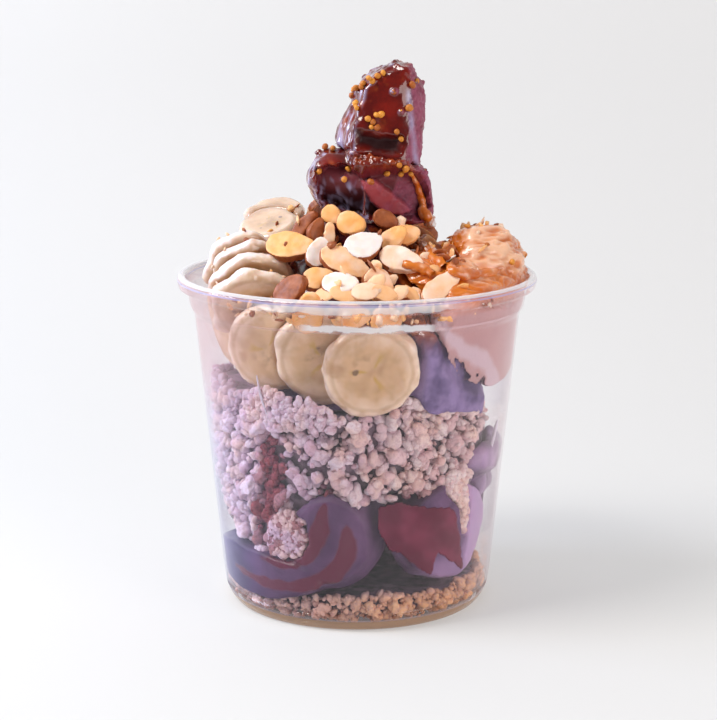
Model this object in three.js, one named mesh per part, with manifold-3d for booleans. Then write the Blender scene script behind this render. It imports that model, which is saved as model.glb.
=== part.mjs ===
// Acai cup: a clear plastic deli cup filled in layers with granola and soft frozen acai, with
// banana slices shingled round its wall, and topped with nut butter, cut almonds, bee pollen and
// a tower of two acai pieces. Millimetres, +Z up, origin at the centre of the cup's foot.
// Angles round the cup are in degrees from the front, -Y, and grow towards +X.
import * as THREE from 'three';
import Module from 'manifold-3d';
import { mergeVertices } from 'three/addons/utils/BufferGeometryUtils.js';
import { ImprovedNoise } from 'three/addons/math/ImprovedNoise.js';

// ---------------------------------------------------------------- driving dimensions
const CUP = {
  rim: 58.5, // the lip's outer radius
  height: 108,
  wall: 0.9,
  floor: 2, // top of the floor
  foot: 41, // outer radius of the ring that the cup stands on
  low: { r: 44.3, z: 8 }, // where the round foot corner meets the straight wall
  ledge: { r: 52.9, z: 95.5 }, // top of the straight wall, under the stacking ledge
  neck: { r: 54.9, z: 101.5 }, // top of the neck, under the lip
  sides: 32,
};
const GAP = 0.35; // clearance between neighbouring pieces
const BANANA = { radius: 14.9, thickness: 6, edge: 1.3, sides: 16 };
const ALMOND_THICKNESS = 2.6;
const OAT_CLUMP = 3.5; // radius
const POLLEN = 1.15; // radius of a pollen grain
const MOUND = { top: 124.6, plateau: 15, radius: 53 }; // the acai that the toppings lie on
const OPEN_SIDE = 40; // the acai stops this far to the right, so an empty space shows there

const wasm = await Module();
wasm.setup();
const { Manifold, Mesh } = wasm;
const perlin = new ImprovedNoise();
const { degToRad, radToDeg, smoothstep } = THREE.MathUtils;

// ---------------------------------------------------------------- solids and meshes
function asSolid(geometry) {
  const bare = geometry.clone();
  bare.deleteAttribute('normal');
  bare.deleteAttribute('uv');
  const merged = mergeVertices(bare, 1e-4);
  const index = merged.index.array;
  const triangles = [];
  for (let i = 0; i < index.length; i += 3) {
    const [a, b, c] = index.subarray(i, i + 3);
    if (a !== b && b !== c && c !== a) triangles.push(a, b, c);
  }
  return new Manifold(new Mesh({
    numProp: 3,
    vertProperties: merged.attributes.position.array,
    triVerts: new Uint32Array(triangles),
  }));
}

function asGeometry(solid) {
  const mesh = solid.getMesh();
  const positions = new Float32Array(mesh.numVert * 3);
  for (let i = 0; i < mesh.numVert; i++)
    positions.set(mesh.vertProperties.subarray(i * mesh.numProp, i * mesh.numProp + 3), i * 3);
  const geometry = new THREE.BufferGeometry();
  geometry.setAttribute('position', new THREE.BufferAttribute(positions, 3));
  geometry.setIndex(new THREE.BufferAttribute(mesh.triVerts, 1));
  geometry.computeVertexNormals();
  return geometry;
}

const minus = (solid, others) => others.reduce((rest, other) => rest.subtract(other), solid);
// The largest body of a solid, so that a cut leaves no loose scrap.
const largest = (solid) => solid.decompose().reduce((a, b) => (b.volume() > a.volume() ? b : a));

function movePoints(geometry, place) {
  const points = geometry.attributes.position;
  const p = new THREE.Vector3();
  for (let i = 0; i < points.count; i++) {
    p.fromBufferAttribute(points, i);
    place(p);
    points.setXYZ(i, p.x, p.y, p.z);
  }
  return geometry;
}

// A seeded random draw from 0 to 1.
function draw(seed) {
  let state = seed;
  return () => {
    state = (state + 0x6d2b79f5) | 0;
    let t = Math.imul(state ^ (state >>> 15), 1 | state);
    t = (t + Math.imul(t ^ (t >>> 7), 61 | t)) ^ t;
    return ((t ^ (t >>> 14)) >>> 0) / 4294967296;
  };
}

const angleOf = (x, y) => radToDeg(Math.atan2(x, -y));
const onCircle = (angle, r) => [Math.sin(degToRad(angle)) * r, -Math.cos(degToRad(angle)) * r];

// A value that eases from stop to stop round the cup; each stop is [angle, value].
function around(...stops) {
  const [first] = stops;
  const ring = [...stops, [first[0] + 360, first[1]]];
  return (angle) => {
    const a = angle < first[0] ? angle + 360 : angle;
    const next = Math.max(1, ring.findIndex(([stop]) => stop >= a));
    const [[a0, v0], [a1, v1]] = [ring[next - 1], ring[next]];
    return v0 + (v1 - v0) * smoothstep(a, a0, a1);
  };
}

// ---------------------------------------------------------------- cup
function insideRadius(z) {
  const { wall, low, ledge, neck } = CUP;
  if (z > ledge.z) {
    const share = Math.min(1, (z - ledge.z) / (neck.z - ledge.z));
    return ledge.r - wall + (neck.r - ledge.r) * (0.45 * smoothstep(z, ledge.z, ledge.z + 3) + 0.55 * share);
  }
  const corner = Math.max(0, 1 - z / low.z);
  return low.r - wall + (z - low.z) * (ledge.r - low.r) / (ledge.z - low.z) - 8.3 * Math.pow(corner, 3.3);
}

const turned = (profile, sides) =>
  new THREE.LatheGeometry(profile.map(([r, z]) => new THREE.Vector2(r, z)), sides).rotateX(Math.PI / 2);

function cupGeometry() {
  const { rim, height, wall, floor, foot, low, ledge, neck } = CUP;
  const heights = [low.z, ledge.z, ledge.z + 2.5, neck.z];
  const outside = heights.map((z) => [insideRadius(z) + wall, z]);
  const inside = heights.map((z) => [insideRadius(z), z]).reverse();
  const under = [[0, 1], [foot - 3, 1], [foot - 2.2, 0], [foot, 0], [43.4, 3.2]];
  const lip = [
    [rim - 0.6, neck.z + 2.4], [rim, height - 1.2], [rim - 1.2, height], [rim - 2.4, height], [rim - 3.5, height - 1.6],
  ];
  return turned([...under, ...outside, ...lip, ...inside, [42.3, 3.9], [foot - 1.3, floor], [0, floor]], CUP.sides);
}

// The space that the food may fill: the cup's inside, and above the rim a shaft within the lip.
function foodRoom() {
  const top = 200;
  const shaft = CUP.rim - 4;
  const wall = [4, CUP.low.z, CUP.ledge.z, CUP.ledge.z + 2, CUP.neck.z].map((z) => [insideRadius(z) - GAP, z]);
  return asSolid(turned([[0, CUP.floor + GAP], [38.6, CUP.floor + GAP], ...wall, [shaft, top], [0, top]], CUP.sides));
}
const room = foodRoom();

// ---------------------------------------------------------------- soft lumps and broken pieces
// An egg-shaped scoop with a lumpy skin. `grow` makes it larger all round, to cut its neighbours.
function lump({ centre, radii, bumps = 0.06, seed = 0, detail = 3 }, grow = 0) {
  return asSolid(movePoints(new THREE.IcosahedronGeometry(1, detail), (p) => {
    const size = 1 + bumps * (perlin.noise(p.x * 1.7 + seed, p.y * 1.7 - seed, p.z * 1.7 + 2 * seed)
      + 0.5 * perlin.noise(p.x * 4 - seed, p.y * 4 + seed, p.z * 4));
    p.set(...[p.x, p.y, p.z].map((value, i) => centre[i] + value * (radii[i] * size + grow)));
  }));
}
const lumps = (list, grow = 0) => Manifold.union(list.map((one) => lump(one, grow)));

// A piece cut from frozen acai. Each face is given by the angle it looks towards, how far it
// looks up, and its distance from the centre; `crisp` sets how sharp the edges between them are.
function chunkReach({ faces, bumps, seed, crisp }, p) {
  let sum = 0;
  for (const [angle, up, distance] of faces) {
    const [nx, ny] = onCircle(angle, Math.cos(degToRad(up)));
    const facing = nx * p.x + ny * p.y + Math.sin(degToRad(up)) * p.z;
    sum += Math.pow(Math.max(0, facing) / distance, crisp);
  }
  const rough = perlin.noise(p.x * 3.1 + seed, p.y * 3.1, p.z * 3.1 - seed)
    + 0.6 * perlin.noise(p.x * 7 - seed, p.y * 7, p.z * 7 + seed);
  return Math.pow(sum, -1 / crisp) + bumps * rough;
}

function chunk(spec, grow = 0) {
  return asSolid(movePoints(new THREE.IcosahedronGeometry(1, spec.detail), (p) => {
    p.multiplyScalar(chunkReach(spec, p) + grow).add(new THREE.Vector3(...spec.centre));
  }));
}

// ---------------------------------------------------------------- banana slices
// Each slice: its centre, the angle its face looks towards, how far its top leans back, its size.
// The first five stand along the front left wall like fallen dominoes.
const SLICES = [
  { x: 4.3, y: -45.8, z: 85.3, turn: 5, lean: -4 },
  { x: -10.6, y: -39, z: 87.8, turn: -2, lean: -5 },
  { x: -26, y: -32.7, z: 89.6, turn: -22, lean: -5, size: 0.97 },
  { x: -35.5, y: -18, z: 93.4, turn: -45, lean: -5, size: 0.96 },
  { x: -42, y: -4, z: 97, turn: -68, lean: -5, size: 0.9 },
  // Four more lean forward over them in a fan that climbs over the rim.
  { x: -32, y: -25.5, z: 101.5, turn: 2, lean: -31, size: 0.93, thickness: 5 },
  { x: -33, y: -19.5, z: 105.8, turn: 13, lean: -31, size: 0.93, thickness: 5 },
  { x: -34.3, y: -13, z: 108.6, turn: 18, lean: -31, size: 0.92, thickness: 4.8 },
  { x: -36, y: -6.6, z: 110.8, turn: 20, lean: -30, size: 0.9, thickness: 4.8 },
  // Two small ones lie on top behind them.
  { x: -28.6, y: 6, z: 121.6, turn: -24, lean: 66, size: 0.68, thickness: 4.2 },
  { x: -27.2, y: 14.5, z: 124.4, turn: -14, lean: 68, size: 0.68, thickness: 4.2 },
  // Three more stand along the back wall.
  { x: -31.6, y: 31.6, z: 91, turn: -134, lean: -4, size: 0.97 },
  { x: -18.4, y: 38.2, z: 88.4, turn: -156, lean: -4 },
  { x: -3.6, y: 45.2, z: 86, turn: -177, lean: -4 },
];

function bananaSlice({ x, y, z, turn, lean, size = 1, thickness = BANANA.thickness }, grow = 0) {
  const r = BANANA.radius * size + grow;
  const half = thickness / 2 + grow;
  const { edge, sides } = BANANA;
  const rim = [[0, -half], [r - edge, -half], [r, -half + edge], [r, half - edge], [r - edge, half], [0, half]];
  const disc = new THREE.LatheGeometry(rim.map(([a, b]) => new THREE.Vector2(a, b)), sides);
  movePoints(disc, (p) => {
    const a = Math.atan2(p.z, p.x);
    const outOfRound = 1 + 0.025 * Math.cos(2 * a + x) + 0.015 * Math.cos(3 * a + y);
    p.set(p.x * outOfRound, p.y, p.z * outOfRound);
  });
  return asSolid(disc.rotateX(-degToRad(lean)).rotateZ(degToRad(turn)).translate(x, y, z));
}

// ---------------------------------------------------------------- nut butter
const NUT_BUTTER = [
  { centre: [40.5, -6, 106], radii: [15, 20, 17.5], bumps: 0.1, seed: 3.1 },
  { centre: [24, -20, 109.5], radii: [16, 17, 8], bumps: 0.1, seed: 5.7, detail: 2 },
  { centre: [35, -15, 94], radii: [23, 32, 20.5], bumps: 0.04, seed: 8.2, detail: 2 },
];

// ---------------------------------------------------------------- layers across the cup
// `top` and `bottom` give a layer's height by angle and share of its radius, `reach` its radius.
function layer({ sides, rings, rows, top, bottom, reach }, grow = 0) {
  const steps = (n) => Array.from({ length: n + 1 }, (_, i) => i / n);
  const edge = steps(rows).slice(1, -1).map((share) => [1, share]);
  const profile = [...steps(rings).map((r) => [r, 0]), ...edge, ...steps(rings).reverse().map((r) => [r, 1])];
  return asSolid(movePoints(turned(profile, sides), (p) => {
    const share = Math.hypot(p.x, p.y);
    const a = angleOf(p.x, p.y);
    const low = bottom(a, share) - grow;
    const z = low + (top(a, share) + grow - low) * p.z;
    p.set(...onCircle(a, share * (reach(a, z) + grow)), z);
  }));
}

const uneven = (a, scale, seed) => perlin.noise(Math.cos(degToRad(a)) * scale + seed, Math.sin(degToRad(a)) * scale, seed);
// The reach of a layer that stops at a flat side, `limit` to the right of the axis.
const flatSide = (a, limit) => (Math.abs(a - 80) < 42 ? limit / Math.sin(degToRad(a)) : Infinity);

// Granola lies 10 mm deep on the floor.
const baseLayer = {
  sides: 24, rings: 1, rows: 2,
  bottom: () => CUP.floor + GAP,
  top: (a) => around([-180, 10], [-59, 6.6], [-28, 9.6], [17, 12], [36, 9.6], [64, 9.8])(a) + 2 * uneven(a, 6, 3.5),
  reach: (a, z) => insideRadius(z) - 1.7 - 1.2 * smoothstep(z, 4, 8),
};

// A thick band of it crosses the middle, with a column down the left and a short tail at the right.
const middleTop = around([-150, 71], [-63, 76.5], [-46, 74], [-12, 69.5], [18, 75.5], [37, 73.5], [58, 70.5], [74, 60], [110, 60]);
const middleBottom = around(
  [-150, 38], [-85, 32], [-62, 24], [-40, 23], [-24, 30], [-12, 39], [8, 42.5], [40, 41.5],
  [49, 32], [55, 32], [62, 46], [110, 48],
);
const middleLayer = {
  sides: 32, rings: 2, rows: 5,
  bottom: (a, share) => middleBottom(a) + 3 * uneven(a, 5, 7.5) + 6 * (1 - share),
  top: (a, share) => middleTop(a) + 2 * uneven(a, 5, 4.5) + 2 * (1 - share),
  reach: (a, z) => Math.min(insideRadius(z) - 1.6, flatSide(a, 43.5))
    + 2.6 * Math.min(0, perlin.noise(a * 0.11, z * 0.27, 1.5)) - 1.4,
};

// Soft acai fills the cup above it and rises into the mound that the toppings lie on. Bananas
// keep it off the wall at the left and the back, and its right flank carries the nut butter.
const moundEdge = around(
  [-180, 103], [-120, 98], [-95, 90], [-60, 91], [-30, 96], [16, 96], [28, 94], [38, 86],
  [50, 80], [66, 74], [112, 74], [140, 100],
);
const moundSwell = around([-180, 1.4], [20, 1.4], [60, 0.8], [110, 0.8], [150, 1.4]);
function mound(a, r) {
  const out = Math.max(0, r - MOUND.plateau) / (MOUND.radius - MOUND.plateau);
  return MOUND.top + (moundEdge(a) - MOUND.top) * Math.pow(Math.min(1, out), moundSwell(a));
}
const behindSlices = around([-180, 8.5], [-150, 9], [-135, 10], [-122, 3], [-110, 6], [-95, 10], [-60, 13], [-30, 10.5],
  [-10, 9], [5, 7.2], [20, 6.4], [25, 0.6], [150, 0.6]);
const upperLayer = {
  sides: 28, rings: 4, rows: 2,
  bottom: (a, share) => middleLayer.top(a, share) - 4,
  top: (a, share) => mound(a, share * MOUND.radius) + 1.2 * uneven(a, 4, 9.5) * share,
  reach: (a, z) => Math.min(insideRadius(z) - GAP - behindSlices(a), flatSide(a, OPEN_SIDE)),
};

// ---------------------------------------------------------------- acai in the lower half
const LOW_LEFT = [
  { centre: [-7, -27, 31.5], radii: [16.5, 22, 21], seed: 4.4 },
  { centre: [-25, -16, 15.5], radii: [25, 29, 9], bumps: 0.05, seed: 6.1, detail: 2 },
];
const LOW_RIGHT = [{ centre: [25, -23, 30.5], radii: [17.5, 24, 18], seed: 7.9, bumps: 0.08 }];
const LOW_BACK = [
  { centre: [-20, 24, 28], radii: [27, 26, 19], seed: 9.3, detail: 2 },
  { centre: [22, 22, 28], radii: [22, 26, 18], seed: 11.7, detail: 2 },
];
const SIDE = [
  { centre: [31, -6, 50.5], radii: [15.5, 24, 11], bumps: 0.12, seed: 12.4, detail: 2 },
  { centre: [32, 4, 38], radii: [12, 20, 10], bumps: 0.12, seed: 14.4, detail: 2 },
];

// ---------------------------------------------------------------- tower
const TOWER_LOW = {
  centre: [4, -6, 137], bumps: 0.7, seed: 2.2, detail: 4, crisp: 16,
  faces: [
    [-90, 0, 20.5], [-90, -40, 16.5], [-90, 32, 19.3], [90, 80, 9.2], [85, 22, 17.9], [88, -5, 20.8],
    [28, -18, 13.2], [-28, -34, 12.2], [-6, 42, 12.4], [180, 15, 15], [130, 10, 18], [-135, 15, 17], [0, -90, 13],
  ],
};
const TOWER_TOP = {
  centre: [8, -6, 157.5], bumps: 0.6, seed: 7.3, detail: 4, crisp: 20,
  faces: [
    [2, 8, 10], [-62, 18, 11.2], [-100, 25, 11.9], [-80, 61, 14.2], [62, 2, 12], [90, 29, 15.8], [100, -8, 13],
    [150, 45, 17], [178, 10, 11], [-125, 18, 12], [-90, -75, 12],
  ],
};

// ---------------------------------------------------------------- small round pieces
// A clump of oats: a flattened bead of few faces, pressed flat where it would meet the wall.
function clump(at, size, random) {
  const bead = new THREE.OctahedronGeometry(1.15, 0);
  bead.scale(size * (0.85 + 0.4 * random()), size * (0.6 + 0.25 * random()), size * (0.75 + 0.3 * random()));
  bead.rotateX(random() * Math.PI).rotateY(random() * Math.PI).rotateZ(random() * Math.PI).translate(...at);
  return asSolid(movePoints(bead, (p) => {
    const r = Math.hypot(p.x, p.y);
    const most = insideRadius(p.z) - GAP - 0.15;
    const pull = Math.min(1, most / r);
    p.set(p.x * pull, p.y * pull, Math.max(p.z, CUP.floor + GAP));
  }));
}

// Clumps round the side of a layer, in rows, each half sunk in the core and clear of its edges.
function clumpsRound(spec, rows, perRow, seed) {
  const random = draw(seed);
  const beads = [];
  for (let row = 0; row < rows; row++)
    for (let i = 0; i < perRow; i++) {
      const a = ((i + 0.5 * (row % 2) + 0.5 * random()) / perRow) * 360 - 180;
      const size = OAT_CLUMP * (0.75 + 0.45 * random());
      const low = spec.bottom(a, 1) + size;
      const z = low + (spec.top(a, 1) - size - low) * ((row + 0.2 + 0.6 * random()) / rows);
      beads.push(clump([...onCircle(a, spec.reach(a, z) + 0.2), z], size, random));
    }
  return beads;
}

// Pollen grains on the upper faces of a piece, half sunk in it.
function pollen(count, seed, surface) {
  const random = draw(seed);
  return Array.from({ length: count }, (_, i) => {
    const up = 0.05 + 0.85 * random();
    const turn = ((i + random()) / count) * 2 * Math.PI;
    const way = new THREE.Vector3(Math.cos(turn) * Math.sqrt(1 - up * up), Math.sin(turn) * Math.sqrt(1 - up * up), up);
    const at = surface(way);
    return asSolid(new THREE.OctahedronGeometry(POLLEN * 1.15, 0).rotateX(turn).translate(...at));
  });
}
const onChunk = (spec) => (way) => {
  const reach = chunkReach(spec, way) + 0.3;
  return spec.centre.map((c, i) => c + way.getComponent(i) * reach);
};
const onLump = ({ centre, radii }) => (way) => centre.map((c, i) => c + way.getComponent(i) * (radii[i] + 0.2));

// ---------------------------------------------------------------- almonds
// Cut almonds lie and stand in the toppings: [x, y, height above the mound, turn, lean, roll,
// length, width]. Turn is the angle that the flat face looks towards, lean how far it looks up,
// roll how the long axis is turned within the face.
const ALMONDS = [
  [-20.5, -23, 3.5, -12, 48, -4, 16.5, 10.5],
  [-3.6, -35, 2.9, 12, 38, -34, 17.5, 8.5],
  [2.2, -29.5, 3.3, 20, 48, 24, 14, 9.5],
  [13.8, -31, 3, -6, 40, -20, 15, 8.5],
  [-20, -41.5, 5.5, -38, 22, 50, 12.5, 9],
  [-14.6, -47.5, 3.5, -6, -6, 80, 13, 9.5],
  [-5, -43.5, 5.4, -4, 52, 4, 11.5, 8.5],
  [-11.6, -40, 4.6, 6, 40, 12, 10.5, 7.5],
  [6.8, -41.5, 3.2, 16, 24, -58, 12, 8.5],
  [25.8, -38, 12.5, 12, 36, 36, 16, 7],
  [13.8, -41.5, 2.4, 10, 44, 6, 8, 5],
  [18.4, -40, 1.8, 22, 26, -52, 9, 5],
  [-1.8, -20.5, 3.6, -8, 24, -8, 9.5, 7.5],
  [-7.6, -15.5, 4, -14, 20, -30, 7.5, 6],
  [15.6, -19, 6.2, 10, 30, 14, 9, 6.5],
  [11.5, -23, 3, -10, 22, 44, 10, 6.5],
  [9, -17.5, 4.4, 6, 12, -28, 8.5, 5.5],
  [-16.4, -14, 3, -30, 14, 52, 12, 4.5],
  [-12.8, -18, 2.2, 24, 16, 62, 8, 5],
  [-8.6, -21.5, 1.8, 4, 14, 84, 8, 3.6],
  [-12, -29, 2.6, 8, 26, 66, 10, 7],
  [-1.6, -48.6, 1.6, -2, 4, 2, 12.5, 8],
  [8.6, -48.4, 0.8, 8, 2, 0, 10.5, 7.5],
  // The back of the mound.
  [7, 24, 3.4, 170, 46, 20, 15, 10],
  [-9, 29, 3.2, -164, 44, -24, 15, 9],
  [21, 28, 3.2, 148, 42, 40, 14, 9],
  [1, 37, 3.6, -178, 40, 4, 14, 9],
  [-13, 17, 3, -140, 42, 60, 12, 7.5],
  [15, 39, 3.8, 160, 36, -40, 14, 8.5],
  [31, 33, 4, 136, 34, 10, 13, 8],
  [-19, 27, 3.4, -150, 38, 40, 12, 8],
  [9, 46, 3.4, 172, 24, 10, 12, 8.5],
  [24, 42, 3.2, 150, 24, -16, 12, 8],
  [24, 17, 3.6, 120, 40, -30, 12, 8],
];

// A flat slice with an almond's outline: round at one end and pointed at the other.
function almond([x, y, rise, turn, lean, roll, length, width], grow = 0) {
  const sides = 10;
  const outline = new THREE.Shape(Array.from({ length: sides }, (_, i) => {
    const t = (i / sides) * 2 * Math.PI;
    const taper = 1 - 0.28 * Math.cos(t);
    return new THREE.Vector2((length / 2 + grow) * Math.cos(t), (width / 2 + grow) * taper * Math.sin(t));
  }));
  const depth = ALMOND_THICKNESS + 2 * grow;
  const slab = new THREE.ExtrudeGeometry(outline, { depth, bevelEnabled: false }).translate(0, 0, -depth / 2);
  slab.rotateZ(degToRad(roll)).rotateX(degToRad(90 - lean)).rotateZ(degToRad(turn));
  return asSolid(slab.translate(x, y, mound(angleOf(x, y), Math.hypot(x, y)) + rise));
}

// ---------------------------------------------------------------- assembly
const group = new THREE.Group();
const skin = (color, roughness, more = {}) => new THREE.MeshStandardMaterial({ color, roughness, metalness: 0, ...more });
const plastic = skin(0xeef0f4, 0.08, { transparent: true, opacity: 0.25 });
const banana = skin(0xe9d3a4, 0.5);
const acai = skin(0x5a3a55, 0.45);
const glazedAcai = skin(0x4c1322, 0.25);
const oats = skin(0xb98f6a, 0.85);
const paste = skin(0xc07840, 0.35);
const almondFlesh = skin(0xe8c690, 0.55);

function put(name, solid, material) {
  const mesh = new THREE.Mesh(asGeometry(largest(solid)), material);
  mesh.name = name;
  group.add(mesh);
}

put('cup', asSolid(cupGeometry()), plastic);

const slices = SLICES.map((spec) => bananaSlice(spec).intersect(room));
const slicesGrown = SLICES.map((spec) => bananaSlice(spec, GAP));
slices.forEach((slice, i) => put(`banana_slice_${i + 1}`, minus(slice, slicesGrown.slice(0, i)), banana));

const towerLowGrown = chunk(TOWER_LOW, GAP);
const nutGrown = lumps(NUT_BUTTER, GAP);
const middleGrown = layer(middleLayer, GAP);
const baseGrown = layer(baseLayer, GAP);
const upperBody = minus(layer(upperLayer).intersect(room), [...slicesGrown, middleGrown]);
const upperGrown = layer(upperLayer, GAP);

const layersGrown = [baseGrown, middleGrown];
const lowLeftGrown = lumps(LOW_LEFT, GAP);
const lowRightGrown = lumps(LOW_RIGHT, GAP);
const lowBackGrown = lumps(LOW_BACK, GAP);
const lowGrown = [lowLeftGrown, lowRightGrown, lowBackGrown];
const inRoom = (list) => lumps(list).intersect(room);
put('acai_low_left', minus(inRoom(LOW_LEFT), layersGrown), acai);
put('acai_low_right', minus(inRoom(LOW_RIGHT), [...layersGrown, lowLeftGrown]), acai);
put('acai_low_back', minus(inRoom(LOW_BACK), [...layersGrown, lowLeftGrown, lowRightGrown]), acai);
put('acai_side', minus(inRoom(SIDE), [...layersGrown, ...lowGrown, nutGrown, upperGrown]), acai);
put('acai_upper', upperBody, glazedAcai);

// Clumps and grains that would cross another piece are left out.
const clearOf = (grains, others) => grains.filter((grain) => others.every((other) => grain.intersect(other).isEmpty()));
const sideGrown = lumps(SIDE, GAP);
const baseClumps = clearOf(clumpsRound(baseLayer, 1, 20, 5), lowGrown);
const middleClumps = clearOf(clumpsRound(middleLayer, 3, 16, 11), [...lowGrown, sideGrown, upperBody]);
put('granola_base', Manifold.union([layer(baseLayer), ...baseClumps]), oats);
put('granola_middle', minus(Manifold.union([layer(middleLayer), ...middleClumps]), [...slicesGrown, nutGrown]), oats);

// Almonds are trimmed where they would sink into what they lie on, or into each other.
const almondsGrown = ALMONDS.map((spec) => almond(spec, GAP));
const bed = [upperGrown, nutGrown, towerLowGrown, ...slicesGrown];
const almonds = ALMONDS.map((spec, i) => minus(almond(spec), [...bed, ...almondsGrown.slice(0, i)]));
almonds.forEach((solid, i) => put(`almond_${i + 1}`, solid, almondFlesh));

const towerTopGrown = chunk(TOWER_TOP, GAP);
const lowPollen = clearOf(pollen(12, 8, onChunk(TOWER_LOW)), [towerTopGrown, nutGrown, ...almondsGrown]);
const topPollen = clearOf(pollen(12, 5, onChunk(TOWER_TOP)), [towerLowGrown]);
const nutPollen = clearOf(pollen(12, 21, onLump(NUT_BUTTER[0])), [towerLowGrown, ...almondsGrown, ...slicesGrown]);
const nutBody = minus(inRoom(NUT_BUTTER), [...slicesGrown, upperGrown, middleGrown, towerLowGrown]);
put('nut_butter', Manifold.union([nutBody, ...nutPollen]), paste);
put('acai_tower_low', minus(Manifold.union([chunk(TOWER_LOW), ...lowPollen]), [upperGrown]), glazedAcai);
put('acai_tower_top', minus(Manifold.union([chunk(TOWER_TOP), ...topPollen]), [towerLowGrown]), glazedAcai);

export default group;
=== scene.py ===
# An acai cup: a clear deli cup filled in layers with granola and soft frozen acai, ringed with
# banana slices and topped with nut butter, cut almonds, bee pollen and a tower of glazed acai.
# Metres, +Z up, the origin at the centre of the cup's foot and the front towards -Y.
# Sizes in the sections are in millimetres and angles in degrees unless they say otherwise, and
# places in the materials are in metres.
import math
from itertools import product

import bmesh
import bpy
import numpy as np
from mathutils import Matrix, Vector
from mathutils.bvhtree import BVHTree


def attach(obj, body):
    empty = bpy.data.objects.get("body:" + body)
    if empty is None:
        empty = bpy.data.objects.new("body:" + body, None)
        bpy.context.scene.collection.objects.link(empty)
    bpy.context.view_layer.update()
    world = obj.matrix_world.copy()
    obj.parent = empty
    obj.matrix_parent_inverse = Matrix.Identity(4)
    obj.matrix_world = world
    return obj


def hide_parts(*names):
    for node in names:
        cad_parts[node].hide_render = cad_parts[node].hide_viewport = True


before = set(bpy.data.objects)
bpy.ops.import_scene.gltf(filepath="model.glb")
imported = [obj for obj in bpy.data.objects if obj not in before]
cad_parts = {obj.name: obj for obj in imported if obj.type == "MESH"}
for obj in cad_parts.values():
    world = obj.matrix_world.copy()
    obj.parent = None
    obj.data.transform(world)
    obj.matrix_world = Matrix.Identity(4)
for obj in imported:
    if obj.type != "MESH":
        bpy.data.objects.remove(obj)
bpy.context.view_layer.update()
MM = 0.001

# ---------------------------------------------------------------- camera
# It stands a little above the rim, far enough back that the cup's sides look nearly straight.
CAMERA_BACK, CAMERA_UP, CAMERA_TILT = 582.1, 200.4, 11.83
LENS, LENS_SHIFT = 90.5, 0.0021  # mm, and a share of the frame
scene = bpy.context.scene
lens = bpy.data.cameras.new("camera")
lens.lens, lens.shift_x = LENS, LENS_SHIFT
camera = bpy.data.objects.new("camera", lens)
camera.location = (0, -CAMERA_BACK * MM, CAMERA_UP * MM)
camera.rotation_euler = (math.radians(90 - CAMERA_TILT), 0, 0)
scene.collection.objects.link(camera)
scene.camera = camera
scene.view_settings.view_transform = "Standard"
scene.cycles.transparent_max_bounces = 24
scene.cycles.max_bounces = 8

# ---------------------------------------------------------------- light
# A window high to the left, blue sky low at the left, a weak warm fill from the right, and a room
# that is pale behind the cup and dark before it.
LIGHTS = [
    # name, place in mm, size in mm, power in watts, colour
    ("window", (-400, -200, 650), 280, 4.2, (1, 0.98, 0.95)),
    ("sky", (-620, 40, 300), 240, 2.4, (0.66, 0.76, 1)),
    ("fill", (520, -460, 240), 420, 2.2, (1, 0.92, 0.89)),
]
for name, place, size, power, colour in LIGHTS:
    lamp = bpy.data.lights.new(name, "AREA")
    lamp.size, lamp.energy, lamp.color = size * MM, power, colour
    holder = bpy.data.objects.new(name, lamp)
    holder.location = [p * MM for p in place]
    aim = Vector((0, 0, 90 * MM)) - holder.location
    holder.rotation_euler = aim.to_track_quat("-Z", "Y").to_euler()
    scene.collection.objects.link(holder)
ROOM_BEFORE, ROOM_BEHIND = 0.13, 0.62
world = bpy.data.worlds.new("room")
world.use_nodes = True
room = world.node_tree
room_way = room.nodes.new("ShaderNodeTexCoord")
room_parts = room.nodes.new("ShaderNodeSeparateXYZ")
room_fade = room.nodes.new("ShaderNodeMapRange")
room_fade.interpolation_type = "SMOOTHSTEP"
for name, value in (("From Min", -0.7), ("From Max", 0.4), ("To Min", ROOM_BEFORE), ("To Max", ROOM_BEHIND)):
    room_fade.inputs[name].default_value = value
room.links.new(room_way.outputs["Generated"], room_parts.inputs[0])
room.links.new(room_parts.outputs["Y"], room_fade.inputs["Value"])
room.links.new(room_fade.outputs[0], room.nodes["Background"].inputs["Strength"])
room.nodes["Background"].inputs["Color"].default_value = (1, 1, 1, 1)
scene.world = world


# ---------------------------------------------------------------- backdrop
# A sheet of pale grey card curves up from under the cup to behind it.
class Value:
    """A value in a material's node tree: arithmetic on it adds Math nodes."""

    def __init__(self, material, socket):
        self.material, self.socket = material, socket

    def math(self, operation, *others):
        return self.material.add("Math", {"operation": operation}, dict(enumerate((self, *others))))

    def __add__(self, other):
        return self.math("ADD", other)

    def __sub__(self, other):
        return self.math("SUBTRACT", other)

    def __rsub__(self, other):
        return self.material.add("Math", {"operation": "SUBTRACT"}, {0: other, 1: self})

    def __mul__(self, other):
        return self.math("MULTIPLY", other)

    __radd__, __rmul__ = __add__, __mul__

    def between(self, low, high, to_low=0, to_high=1):
        """Eases from to_low, at low and below, to to_high at high and above."""
        values = {"Value": self, "From Min": low, "From Max": high, "To Min": to_low, "To Max": to_high}
        return self.material.add("MapRange", {"interpolation_type": "SMOOTHSTEP"}, values)


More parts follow.
